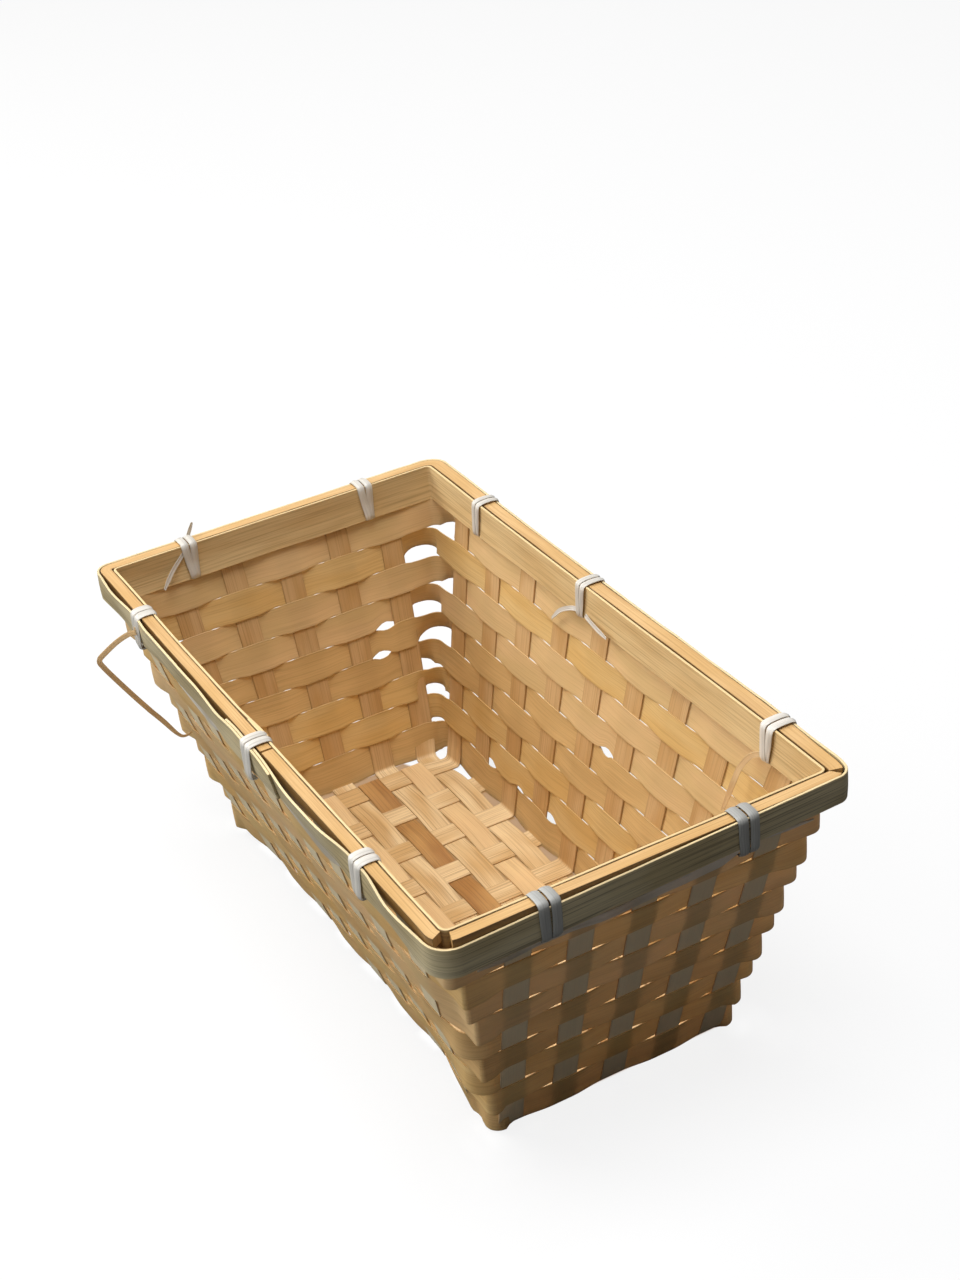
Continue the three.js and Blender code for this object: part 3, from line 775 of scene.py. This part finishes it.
def floor_run(weave, start, end, sideways, first_side):
    """A strip's points across the floor. It starts over (1) or under (-1) the cross stakes, or is
    one of them (0)."""
    spots = [(start, weave.layer * max(first_side, 0))]
    for crossing in range(COUNTS["cross"]):
        side = first_side if crossing % 2 == 0 else -first_side
        spots.append((weave.stake_place("cross", crossing, 0), weave.layer * side))
    spots.append((end, spots[0][1]))
    if first_side == 0:
        spots = [(start, 0), (end, 0)]
    run = []
    for share in shares(round((end - start) / FLOOR_STEP))[1:-1]:
        lengthwise = lerp(start, end, share)
        run.append((lengthwise, sideways, weave.floor_level + wave(lengthwise, spots, HOLD)))
    return run


# The slat of darker heartwood, counted from 0 at the left
BROWN_SLAT = 2

# The slats end this far in from the weavers' middle line
SLAT_INSET = 2.2 * MM


class BASKET_OT_floor_slats(bpy.types.Operator):
    """Slips the floor slats between the long stakes"""

    bl_idname = "basket.floor_slats"
    bl_label = "Floor Slats"

    def execute(self, context):
        weave = Weave(context.scene.basket_sizes)
        # Smoother and more golden than the stakes, with soft dark streaks
        material = split_bamboo(
            "Split bamboo, floor slats", context.scene.basket_colours.slat, "#edcd98", "#9f7238", 0.5, 0.3,
            roughness=0.55, through=0.3,
        )
        # One slat is darker heartwood, with brown streaks
        brown = split_bamboo(
            "Split bamboo, brown slat", linear("#c89a5c"), "#b07e44", "#6e4620", 0.5, 0.4, roughness=0.55
        )
        end = weave.reach("front", 0) - SLAT_INSET
        offsets = [weave.widths["long"] * (share - 0.5) for share in shares(ACROSS)]
        places = [weave.stake_place("long", index, 0) for index in range(COUNTS["long"])]
        for index, (left, right) in enumerate(zip(places, places[1:])):
            run = floor_run(weave, -end, end, (left + right) / 2, 1)
            columns = [[Vector((x + offset, y, z)) for offset in offsets] for y, x, z in run]
            finish = brown if index == BROWN_SLAT else material
            node = f"floor_slat_{index + 1}"
            lay_strip(node, [columns], weave.thickness, finish, index + 40)
        return {"FINISHED"}


HOOP_THICKNESS = 0.9 * MM

# How far the outer hoop's outer face lies out from the core's, and how wide a hoop's edges are worn
HOOP_OUT, HOOP_EDGE = 1.2 * MM, 0.2 * MM

# How wide the outer hoop turns at each corner, in millimetres
HOOP_CORNERS = {"left": 9, "front": 5, "right": 8, "back": 6}

# Places along the left wall, which runs from the back to the front: where the outer hoop's ends lie,
# over which distance the upper end rises over the lower one, and how high
LAP_START, LAP_END = -12 * MM, 28 * MM
LAP_EASE, LAP_RISE = 28 * MM, 1.05 * MM


def rim_ring(inset, smallest=0.8 * MM):
    """An even ring in from the outer hoop's outer face, with no corner under the smallest radius."""
    corners = {wall: max(radius * MM - inset, smallest) for wall, radius in HOOP_CORNERS.items()}
    return Ring(CORE_HIGH.x + HOOP_OUT - inset, CORE_HIGH.y + HOOP_OUT - inset, corners)


# Places along the left wall, in millimetres, and how far the outer hoop's top stands off the core
# there, between the ties, and how far its foot lies in from its rim, beside the packing
HOOP_BOW = (
    (-137, 0), (-118, 1.4), (-97, 0.3), (-85, 1.1), (-20, 1.1), (-4, 0.2), (12, 0.3), (44, 2.6),
    (60, 2.4), (86, 0), (92, 0), (112, 2), (134, 0),
)
HOOP_TUCK = (
    (-137, 0), (-115, 0.7), (-100, 0), (-92, 0), (-75, 0.8), (-25, 0.8), (-10, 0), (-4, 0), (15, 0.8),
    (70, 0.8), (84, 0), (93, 0), (110, 0.6), (134, 0),
)


def hoop_lift(station):
    """The outer hoop slipped down at the front left corner and stands proud at the front right."""
    down, up = -2.5 * MM, 0.8 * MM
    wall, place, turn = station
    if turn is not None:
        return {"left": down, "front": up}.get(wall, 0.0)
    if wall == "left":
        return down * ease((place - 98 * MM) / (32 * MM))
    if wall == "front":
        return lerp(down, up, (place + 66 * MM) / (136 * MM))
    if wall == "right":
        return up * (1 - ease((place + 133 * MM) / (30 * MM)))
    return 0.0


class BASKET_OT_outer_hoop(bpy.types.Operator):
    """Bends the outer hoop round the rim and laps its ends on the left wall"""

    bl_idname = "basket.outer_hoop"
    bl_label = "Outer Hoop"

    def execute(self, context):
        # A planed slat: grey with age outside, satin, with straight, even grain
        material = split_bamboo(
            "Planed bamboo slat, outer hoop", context.scene.basket_colours.outer_hoop, "#bca97c", "#62523a",
            0.5, 0.35, lines=0.6, roughness=0.45, through=0.05, edge="#ead2a0",
        )
        ring = rim_ring(HOOP_THICKNESS / 2)
        stations = ring.stations(LAP_START, LAP_END, HOOP_STEP)
        columns = []
        for number, station in enumerate(stations):
            wall, place, turn = station
            out = foot_out = 0.0
            if wall == "left" and turn is None:
                out, foot_out = wave(place / MM, HOOP_BOW, 0) * MM, -wave(place / MM, HOOP_TUCK, 0) * MM
                if number > len(stations) / 2:
                    rise = LAP_RISE * ease((place - LAP_START + LAP_EASE) / LAP_EASE)
                    out, foot_out = out + rise, foot_out + rise
            base = ring.point(station, out, 0)
            lift = hoop_lift(station)
            low = HOOP_BOTTOM + lift + 0.35 * MM * wander(base, 51, 40 * MM)
            high = RIM_TOP + lift - 0.1 * MM + 0.1 * MM * wander(base, 52, 9 * MM)
            column = []
            for share in shares(HOOP_ACROSS):
                bulge = 0.12 * MM * math.sin(math.pi * share) + 0.1 * MM * wander(base, 53, 30 * MM)
                here = lerp(foot_out, out, share) + bulge
                column.append(ring.point(station, here, lerp(low, high, share)))
            columns.append(column)
        lay_strip("outer_hoop", [columns], HOOP_THICKNESS, material, 50, HOOP_EDGE)
        return {"FINISHED"}


# The inner hoop: how far in from the outer hoop's face its middle lies at the top, how far in from
# the weavers' middle line its foot lies, how far the foot hangs below the solid's, how far past the
# left wall's middle each of its ends goes, and over which distance the last end tucks in
INNER_INSET, INNER_FOOT_INSET, INNER_DROP = 6.35 * MM, 1.35 * MM, 0.9 * MM
INNER_LAP, INNER_EASE = 7 * MM, 25 * MM

# The least radius of the inner hoop and of the core at a corner
INNER_BEND, CORE_BEND = 1.8 * MM, 2.5 * MM


class BASKET_OT_inner_hoop(bpy.types.Operator):
    """Bends the inner hoop round, leaning between the core and the weave"""

    bl_idname = "basket.inner_hoop"
    bl_label = "Inner Hoop"

    def execute(self, context):
        weave = Weave(context.scene.basket_sizes)
        # The same slat as the outer hoop, kept golden inside the basket
        material = split_bamboo(
            "Planed bamboo slat, inner hoop", context.scene.basket_colours.inner_hoop, "#d8b882", "#987546",
            0.55, 0.35, lines=0.35, roughness=0.45, through=0.05, edge="#e8cc96",
        )
        top = rim_ring(INNER_INSET, INNER_BEND)
        inset = INNER_FOOT_INSET + HOOP_THICKNESS / 2
        bottom = INNER_BOTTOM - INNER_DROP
        across, lengthwise = (weave.reach(wall, bottom) - inset for wall in ("left", "front"))
        # The foot's corners start where the top's do, or a little later
        tighter = max(top.across - across, top.lengthwise - lengthwise)
        foot = Ring(across, lengthwise, {wall: r - tighter for wall, r in top.corners.items()})
        columns = []
        stations = top.stations(-INNER_LAP, INNER_LAP, HOOP_STEP)
        for number, station in enumerate(stations):
            out = -end_tuck(number, len(stations), HOOP_STEP, INNER_EASE, HOOP_THICKNESS)
            column = []
            for share in shares(HOOP_ACROSS):
                ring = foot.towards(top, share)
                base = ring.point(station, 0, 0)
                z = lerp(bottom, RIM_TOP + 0.15 * MM, share)
                z += 0.2 * MM * (1 - share) * wander(base, 56, 35 * MM)
                column.append(ring.point(station, out + 0.1 * MM * wander(base, 57, 30 * MM), z))
            columns.append(column)
        lay_strip("inner_hoop", [columns], HOOP_THICKNESS, material, 55, HOOP_EDGE)
        return {"FINISHED"}


# The core: how far in from the outer hoop's face its middle lies, how wide it is and how wide its
# worn edges, and where it starts and ends on the left wall
CORE_INSET, CORE_WIDTH, CORE_EDGE = 3.4 * MM, 4.3 * MM, 0.55 * MM
CORE_START, CORE_END = 15 * MM, 14 * MM

# Where the core's strips end at the front corners: the corner after the wall, and from which turn to
# which turn nothing lies
CORE_ENDS = (("left", 0.42, 0.7), ("front", 0.55, 0.8))


def at_core_end(station):
    wall, _, turn = station
    return turn is not None and any(wall == at and start < turn < end for at, start, end in CORE_ENDS)


class BASKET_OT_core(bpy.types.Operator):
    """Lays the golden core strips between the hoops, with their ends showing at two corners"""

    bl_idname = "basket.core"
    bl_label = "Core"

    def execute(self, context):
        # Peeled outer bamboo: golden and satin, with fine straight grain. Its dark brown sides and edges
        # are painted shade, for the gaps between the core and the hoops
        material = split_bamboo(
            "Peeled bamboo, core", context.scene.basket_colours.core, "#dcb47a", "#a27236", 0.5, 0.35,
            lines=0.2, roughness=0.4, through=0.05, edge="#7a5526",
        )
        ring = rim_ring(CORE_INSET, CORE_BEND)
        runs, columns = [], []
        for station in ring.stations(CORE_START, CORE_END, HOOP_STEP):
            if at_core_end(station):
                if columns:
                    runs.append(columns)
                columns = []
                continue
            base = ring.point(station, 0, 0)
            z = (CORE_BOTTOM + RIM_TOP) / 2 + 0.15 * MM * wander(base, 61, 28 * MM)
            side = 0.12 * MM * wander(base, 62, 22 * MM)
            outs = [side + CORE_WIDTH * (share - 0.5) for share in shares(ACROSS)]
            columns.append([ring.point(station, out, z) for out in outs])
        runs.append(columns)
        lay_strip("rim_core", runs, RIM_TOP - CORE_BOTTOM, material, 60, CORE_EDGE)
        return {"FINISHED"}


# How far out the packing strips lie from the weavers' middle line, how thick they are, and how wide
# the worn edges of thin strips
PACKING_OUT, PACKING_THICKNESS = 1.5 * MM, 0.4 * MM
THIN_EDGE = 0.08 * MM

# The packing strips: places along the wall, how high the top edge is there, and how wide the strip
# is, in millimetres
PACKINGS = {
    "left": (
        (-103, 110, 5), (-94, 111, 7.9), (-52, 100.4, 9), (-10, 111, 7.9), (-4, 111, 7.9),
        (42, 100.2, 9.6), (85, 110.5, 7.9), (93, 110, 5),
    ),
    "front": (
        (-60, 97, 1), (-50, 97.6, 2.5), (-38, 100.6, 4), (-29, 101, 4.4), (-13, 98.4, 4.2),
        (10, 100.4, 4.6), (28, 101, 5), (40, 104.8, 3.4), (58, 101.8, 1.6), (64, 100.6, 0.6),
    ),
}


class BASKET_OT_packings(bpy.types.Operator):
    """Hangs the thin packing strips between the outer hoop and the weave"""

    bl_idname = "basket.packings"
    bl_label = "Packings"

    def execute(self, context):
        weave = Weave(context.scene.basket_sizes)
        # The skin of bleached bamboo: dull grey white, with faint grey streaks
        material = split_bamboo(
            "Bleached bamboo skin, packing", context.scene.basket_colours.packing, "#cac4b2", "#8b8573",
            0.7, 0.3, roughness=0.6, through=0.3,
        )
        for wall, spots in PACKINGS.items():
            tops = [(place, top) for place, top, _ in spots]
            widths = [(place, width) for place, _, width in spots]
            start, end = spots[0][0], spots[-1][0]
            columns = []
            for along in shares(round((end - start) / 2)):
                place = lerp(start, end, along)
                top, width = wave(place, tops, 0), wave(place, widths, 0)
                off = PACKING_OUT + 0.25 * MM * math.sin(place / 7)
                heights = [(top - width * (1 - share)) * MM for share in shares(ACROSS)]
                columns.append([on_wall(wall, place * MM, weave.reach(wall, z) + off, z) for z in heights])
            lay_strip(f"{wall}_packing", [columns], PACKING_THICKNESS, material, 70, THIN_EDGE)
        return {"FINISHED"}


def spline(points, spacing):
    """A smooth path through points, with a step of about the spacing."""
    guides = [2 * points[0] - points[1], *points, 2 * points[-1] - points[-2]]
    path = []
    for a, b, c, d in zip(guides, guides[1:], guides[2:], guides[3:]):
        for t in shares(max(2, round((c - b).length / spacing)))[:-1]:
            square, cube = 2 * a - 5 * b + 4 * c - d, 3 * b - a - 3 * c + d
            path.append(0.5 * (2 * b + (c - a) * t + square * t**2 + cube * t**3))
    path.append(points[-1])
    return path


def ribbon(path, facing, width, crown, taper=0.0):
    """Columns across a narrow, cupped strip along a path, which faces one way at its start."""
    columns = []
    for number, point in enumerate(path):
        before, after = path[max(number - 1, 0)], path[min(number + 1, len(path) - 1)]
        tangent = (after - before).normalized()
        facing = (facing - tangent * facing.dot(tangent)).normalized()
        side = facing.cross(tangent)
        left = (len(path) - 1 - number) / (len(path) - 1)
        here = width * (1 - taper * (1 - ease(left * 4)))
        columns.append([
            point + side * here * (share - 0.5) + facing * crown * arch(share) for share in shares(ACROSS)
        ])
    return columns


# How thick the ties' strips are, and how far the wraps and the loose ends are cupped
TIE_THICKNESS = 0.32 * MM
WRAP_CROWN, TAIL_CROWN = 0.35 * MM, 0.12 * MM

# Each tie's wall, the middle of its two wraps along it, and how wide its strip is, in millimetres
TIES = {
    "front_left": ("front", -37, 3.7),
    "front_right": ("front", 35.4, 3.7),
    "right_front": ("right", -103, 3.2),
    "right_middle": ("right", 14.6, 2.7),
    "right_back": ("right", 94, 2.6),
    "back_right": ("back", -40, 3),
    "back_left": ("back", 38, 3),
    "left_back": ("left", -97, 3.5),
    "left_middle": ("left", 7, 3.5),
    "left_front": ("left", 88, 3.6),
}

# Loose ends of the ties: how wide each is, whether it starts with its face along the wall, and its
# points as (along, out, up) in millimetres, from inside its tie to the tip
TAILS = {
    "right_front": (
        (2.0, False, ((-103, 69.3, 107), (-103.6, 69, 104.4), (-101.3, 68.4, 104.5), (-98.2, 66, 103.2),
                      (-96.2, 63, 98.8), (-96, 60.5, 94.2), (-95.1, 58.5, 88.2), (-94.5, 56.5, 83))),
    ),
    "right_middle": (
        (1.8, False, ((14, 69.3, 107), (12.3, 69, 104.6), (9.5, 68.3, 104.4), (1.2, 67, 104.6),
                      (-8, 65.8, 105))),
        (1.8, False, ((14.6, 69.3, 107), (15.5, 68.7, 105), (18.5, 67.3, 105), (26.4, 66.6, 100.5),
                      (32.3, 66, 94.5))),
    ),
    "back_left": (
        (1.6, False, ((36.5, 140.9, 112), (35.4, 141, 115.5), (32.5, 141.4, 121))),
        (1.6, False, ((39.5, 134, 114), (42.2, 133, 112), (47.7, 131, 108), (52.8, 128.5, 104))),
    ),
    "left_back": (
        (2.1, True, ((-96, 76.6, 112), (-95.5, 77.4, 110), (-95, 80.2, 110.6), (-95, 85, 109.2),
                     (-95, 91, 106), (-95, 93.3, 104), (-95, 91.8, 100), (-95, 83.3, 85),
                     (-95, 74.6, 70.5), (-95, 69.4, 61), (-95, 66.6, 58.6), (-95, 63.5, 59.4))),
    ),
}


def wrap_path(weave, wall, centre, side, lift, width):
    """One wrap of a tie as a smooth path from the slot in the weave, over the rim and back."""
    rim = HOOP_OUT + (CORE_HIGH.x if is_long(wall) else CORE_HIGH.y)
    foot = weave.reach(wall, INNER_BOTTOM) - 2.25 * MM
    slot = INNER_BOTTOM - 0.5 * MM
    over = 0.45 * MM if side > 0 else 0.0
    half, narrow, crossed = 0.58 * width, 0.48 * width, 0.6 * MM
    low = slot - (0.6 * MM if side < 0 else 0.0)
    outside = rim + 0.3 * MM + lift
    inside = rim - 7.15 * MM
    top = RIM_TOP + 0.3 * MM
    profile = (
        # out, up, and how far the wraps spread there
        (foot + 1.6 * MM, slot, crossed),
        (foot - 0.1 * MM, slot - 0.1 * MM, crossed),
        (foot - 0.55 * MM - over, slot + 1.1 * MM, crossed),
        (lerp(foot, inside, 0.5) - 0.45 * MM - over / 2, lerp(slot, top, 0.5), lerp(crossed, half, 0.6)),
        (inside - 0.25 * MM, top - 1.6 * MM, half),
        (inside + 0.5 * MM, top + 0.1 * MM, half),
        (lerp(inside, outside, 0.5), top + 0.55 * MM, half),
        (outside - 0.7 * MM, top + 0.1 * MM, half),
        (outside + 0.12 * MM, top - 1.3 * MM, half),
        (outside + 0.2 * MM + over / 2, lerp(low, top, 0.5), lerp(narrow, half, 0.75)),
        (outside + 0.1 * MM + over, low + 1.3 * MM, narrow),
        (outside - 0.7 * MM + over, low, narrow),
        (outside - 1.8 * MM, low + 0.2 * MM, narrow),
    )
    points = [on_wall(wall, centre + side * spread, out, z) for out, z, spread in profile]
    return spline(points, TIE_STEP)


class BASKET_OT_ties(bpy.types.Operator):
    """Winds the ties twice round the rim and leaves their loose ends"""

    bl_idname = "basket.ties"
    bl_label = "Ties"

    def execute(self, context):
        sizes = context.scene.basket_sizes
        weave = Weave(sizes)
        # Bleached bamboo skin: white with soft grey streaks, smooth enough for a satin sheen
        material = split_bamboo(
            "Bleached bamboo skin, ties", context.scene.basket_colours.tie, "#dad6cc", "#99968d",
            0.45, 0.35, roughness=0.38, through=0.15,
        )
        # The front ties are painted grey: painted shade, for the side of the basket away from the light
        shaded_front_skin = split_bamboo(
            "Bamboo skin in painted shade, front ties", linear("#b9bab6"), "#a8a8a3", "#74736d",
            0.45, 0.4, through=0.1,
        )
        # The two longest loose ends kept the bamboo's own golden brown
        loose = split_bamboo(
            "Bamboo skin, loose ends", linear("#eedab0"), "#dcc090", "#a88858",
            0.45, 0.35, through=0.35,
        )
        for number, (name, (wall, centre, width)) in enumerate(TIES.items()):
            # The middle tie of the left wall passes over the outer hoop's lapped ends
            lift = 1.1 * MM if name == "left_middle" else 0.0
            tails = loose if name in ("right_front", "left_back") else None
            # The front ties take the copy of the skin painted in shade
            skin = shaded_front_skin if wall == "front" else material
            width *= sizes.tie_width / WIDEST_TIE
            runs = []
            for side in (-1, 1):
                path = wrap_path(weave, wall, centre * MM, side, lift, width)
                runs.append(ribbon(path, Vector((0, 0, -1)), width, WRAP_CROWN))
            for tail_width, along_wall, points in TAILS.get(name, ()):
                guides = [on_wall(wall, *(value * MM for value in point)) for point in points]
                facing = WALLS[wall][1 if along_wall else 0]
                path = spline(guides, TAIL_STEP)
                runs.append(ribbon(path, facing, tail_width * MM, TAIL_CROWN, taper=0.4))
            lay_strip(f"tie_{name}", runs, TIE_THICKNESS, skin, 80 + number, THIN_EDGE, tails)
        return {"FINISHED"}


# The camera that the photograph fits: its place in millimetres, how far it is turned from the basket's
# front, looks down and is rolled, in degrees, and its lens in pixels for a picture this long
CAMERA_PLACE = (-277.47, -596.35, 523.06)
CAMERA_ANGLES = (-26.4, 31.3, -5.7)
LENS, PICTURE = 2182.77, 1280

# The lamps, which all aim at the basket's middle: place and size in metres, power in watts, colour
LAMPS = {
    "Window": ((-0.9, 1.2, 1.1), 1.1, 22, (1.0, 0.97, 0.93)),
    "Skylight": ((-0.1, 0, 1.75), 1.0, 28, (0.98, 0.98, 1.0)),
    "Reflector": ((-1.6, 0.2, 0.6), 1.2, 11, (0.9, 0.95, 1.0)),
}
LAMP_TARGET = Vector((0, 0, 0.05))

# Under the basket the floor is painted brown, a painted shadow where gaps in the weave show it, but not
# under the hole at the back right corner: the way to each side of the brown, and how far it reaches that
# way, in millimetres
PAINTED_SHADOW_EDGES = (
    ((1, 0, 0), 48.5), ((0, 1, 0), 106), ((-1, 0, 0), 30), ((0, -1, 0), 104), ((1, 0.5, 0), 82),
)


def place_object(scene, name, data, place, turn):
    """Adds a lamp or a camera to the scene, and returns its object."""
    added = bpy.data.objects.new(name, data)
    added.location = place
    added.rotation_mode = "QUATERNION"
    added.rotation_quaternion = turn
    scene.collection.objects.link(added)
    return added


def aim_camera(scene):
    azimuth, elevation, roll = (math.radians(angle) for angle in CAMERA_ANGLES)
    level = math.cos(elevation)
    back = Vector((math.sin(azimuth) * level, -math.cos(azimuth) * level, math.sin(elevation)))
    lens = bpy.data.cameras.new("Camera")
    lens.sensor_width = 36
    lens.lens = lens.sensor_width * LENS / PICTURE
    lens.clip_start = 0.01
    lens.clip_end = 20
    turn = back.to_track_quat("Z", "Y") @ Quaternion((0, 0, 1), roll)
    scene.camera = place_object(scene, "Camera", lens, Vector(CAMERA_PLACE) * MM, turn)


def add_lamps(scene):
    for name, (place, size, power, colour) in LAMPS.items():
        lamp = bpy.data.lights.new(name, "AREA")
        lamp.shape = "DISK"
        lamp.size = size
        lamp.energy = power
        lamp.color = colour
        turn = (Vector(place) - LAMP_TARGET).to_track_quat("Z", "Y")
        place_object(scene, name, lamp, place, turn)


def white_surroundings():
    """A world that looks white, and lights the basket's matt sides only dimly."""
    world = bpy.data.worlds.new("White surroundings")
    tree = empty_tree(world)
    rays = add_node(tree, "ShaderNodeLightPath").outputs
    seen = rays["Is Camera Ray"]
    for ray in ("Is Glossy Ray", "Is Transmission Ray"):
        sockets = [(0, seen), (1, rays[ray])]
        seen = add_node(tree, "ShaderNodeMath", sockets, operation="ADD", use_clamp=True)
    dim = add_node(tree, "ShaderNodeBackground", [("Color", (0.9, 0.95, 1, 1)), ("Strength", 0.1)])
    white = add_node(tree, "ShaderNodeBackground", [("Color", (1, 1, 1, 1)), ("Strength", 1.0)])
    sockets = [(0, seen), (1, dim), (2, white)]
    both = add_node(tree, "ShaderNodeMixShader", sockets)
    add_node(tree, "ShaderNodeOutputWorld", [("Surface", both)])
    return world


def pale_floor():
    """White where the camera sees it, with a painted brown shadow under the basket, and matt grey in the
    light it returns.
    """
    material = bpy.data.materials.new("Pale floor")
    tree = empty_tree(material)
    place = add_node(tree, "ShaderNodeTexCoord").outputs["Object"]
    farthest = None
    for way, reach in PAINTED_SHADOW_EDGES:
        along = add_node(tree, "ShaderNodeVectorMath", [(0, place), (1, way)], operation="DOT_PRODUCT")
        sockets = [(0, along.outputs["Value"]), (1, reach * MM)]
        past = add_node(tree, "ShaderNodeMath", sockets, operation="SUBTRACT")
        if farthest:
            sockets = [(0, farthest), (1, past)]
            past = add_node(tree, "ShaderNodeMath", sockets, operation="MAXIMUM")
        farthest = past
    share = add_node(tree, "ShaderNodeMapRange", [("Value", farthest), ("From Max", 1.5 * MM)])
    # Painted shadow: brown under the basket and white elsewhere, both glowing for the camera
    sockets = [(0, share), (6, (*linear("#a57c4c"), 1)), (7, (0.86, 0.86, 0.86, 1))]
    colour = add_node(tree, "ShaderNodeMix", sockets, data_type="RGBA").outputs[2]
    glow = add_node(tree, "ShaderNodeEmission", [("Color", colour)])
    matt = add_node(tree, "ShaderNodeBsdfDiffuse", [("Color", (0.12, 0.12, 0.12, 1))])
    both = add_node(tree, "ShaderNodeAddShader", [(0, matt), (1, glow)])
    seen = add_node(tree, "ShaderNodeLightPath").outputs["Is Camera Ray"]
    sockets = [(0, seen), (1, matt), (2, both)]
    above = add_node(tree, "ShaderNodeMixShader", sockets)
    # From below the floor is clear, so that the basket's underside shows
    below = add_node(tree, "ShaderNodeNewGeometry").outputs["Backfacing"]
    clear = add_node(tree, "ShaderNodeBsdfTransparent")
    sockets = [(0, below), (1, above), (2, clear)]
    one_sided = add_node(tree, "ShaderNodeMixShader", sockets)
    add_node(tree, "ShaderNodeOutputMaterial", [("Surface", one_sided)])
    return material


class BASKET_OT_stage(bpy.types.Operator):
    """Sets up the camera, the pale floor, the soft window light and the white surroundings"""

    bl_idname = "basket.stage"
    bl_label = "Stage"

    def execute(self, context):
        scene = context.scene
        scene.view_settings.view_transform = "Standard"
        scene.world = white_surroundings()
        aim_camera(scene)
        add_lamps(scene)
        mesh = bpy.data.meshes.new("floor")
        bm = bmesh.new()
        bmesh.ops.create_grid(bm, x_segments=1, y_segments=1, size=4)
        bm.to_mesh(mesh)
        bm.free()
        mesh.materials.append(pale_floor())
        floor = bpy.data.objects.new("floor", mesh)
        floor.location.z = -0.05 * MM
        scene.collection.objects.link(floor)
        return {"FINISHED"}


class BASKET_PT_panel(bpy.types.Panel):
    """Lists the basket's pieces, sizes and colours"""

    bl_label = "Bamboo Basket"
    bl_idname = "BASKET_PT_panel"
    bl_space_type = "VIEW_3D"
    bl_region_type = "UI"
    bl_category = "Basket"

    def draw(self, context):
        layout = self.layout
        for operator in OPERATORS:
            layout.operator(operator.bl_idname)
        for group in (context.scene.basket_sizes, context.scene.basket_colours):
            box = layout.box()
            for name in group.__annotations__:
                box.prop(group, name)


OPERATORS = (
    BASKET_OT_stage,
    BASKET_OT_stakes,
    BASKET_OT_floor_slats,
    BASKET_OT_weavers,
    BASKET_OT_outer_hoop,
    BASKET_OT_core,
    BASKET_OT_inner_hoop,
    BASKET_OT_packings,
    BASKET_OT_ties,
)
CLASSES = (BasketSizes, BasketColours, *OPERATORS, BASKET_PT_panel)


def register():
    for one in CLASSES:
        bpy.utils.register_class(one)
    bpy.types.Scene.basket_sizes = bpy.props.PointerProperty(type=BasketSizes)
    bpy.types.Scene.basket_colours = bpy.props.PointerProperty(type=BasketColours)


def unregister():
    del bpy.types.Scene.basket_colours
    del bpy.types.Scene.basket_sizes
    for one in reversed(CLASSES):
        bpy.utils.unregister_class(one)


def main():
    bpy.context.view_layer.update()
    register()
    bpy.ops.basket.stage()
    bpy.ops.basket.stakes()
    bpy.ops.basket.floor_slats()
    bpy.ops.basket.weavers()
    bpy.ops.basket.outer_hoop()
    bpy.ops.basket.core()
    bpy.ops.basket.inner_hoop()
    bpy.ops.basket.packings()
    bpy.ops.basket.ties()


if __name__ == "__main__":
    main()
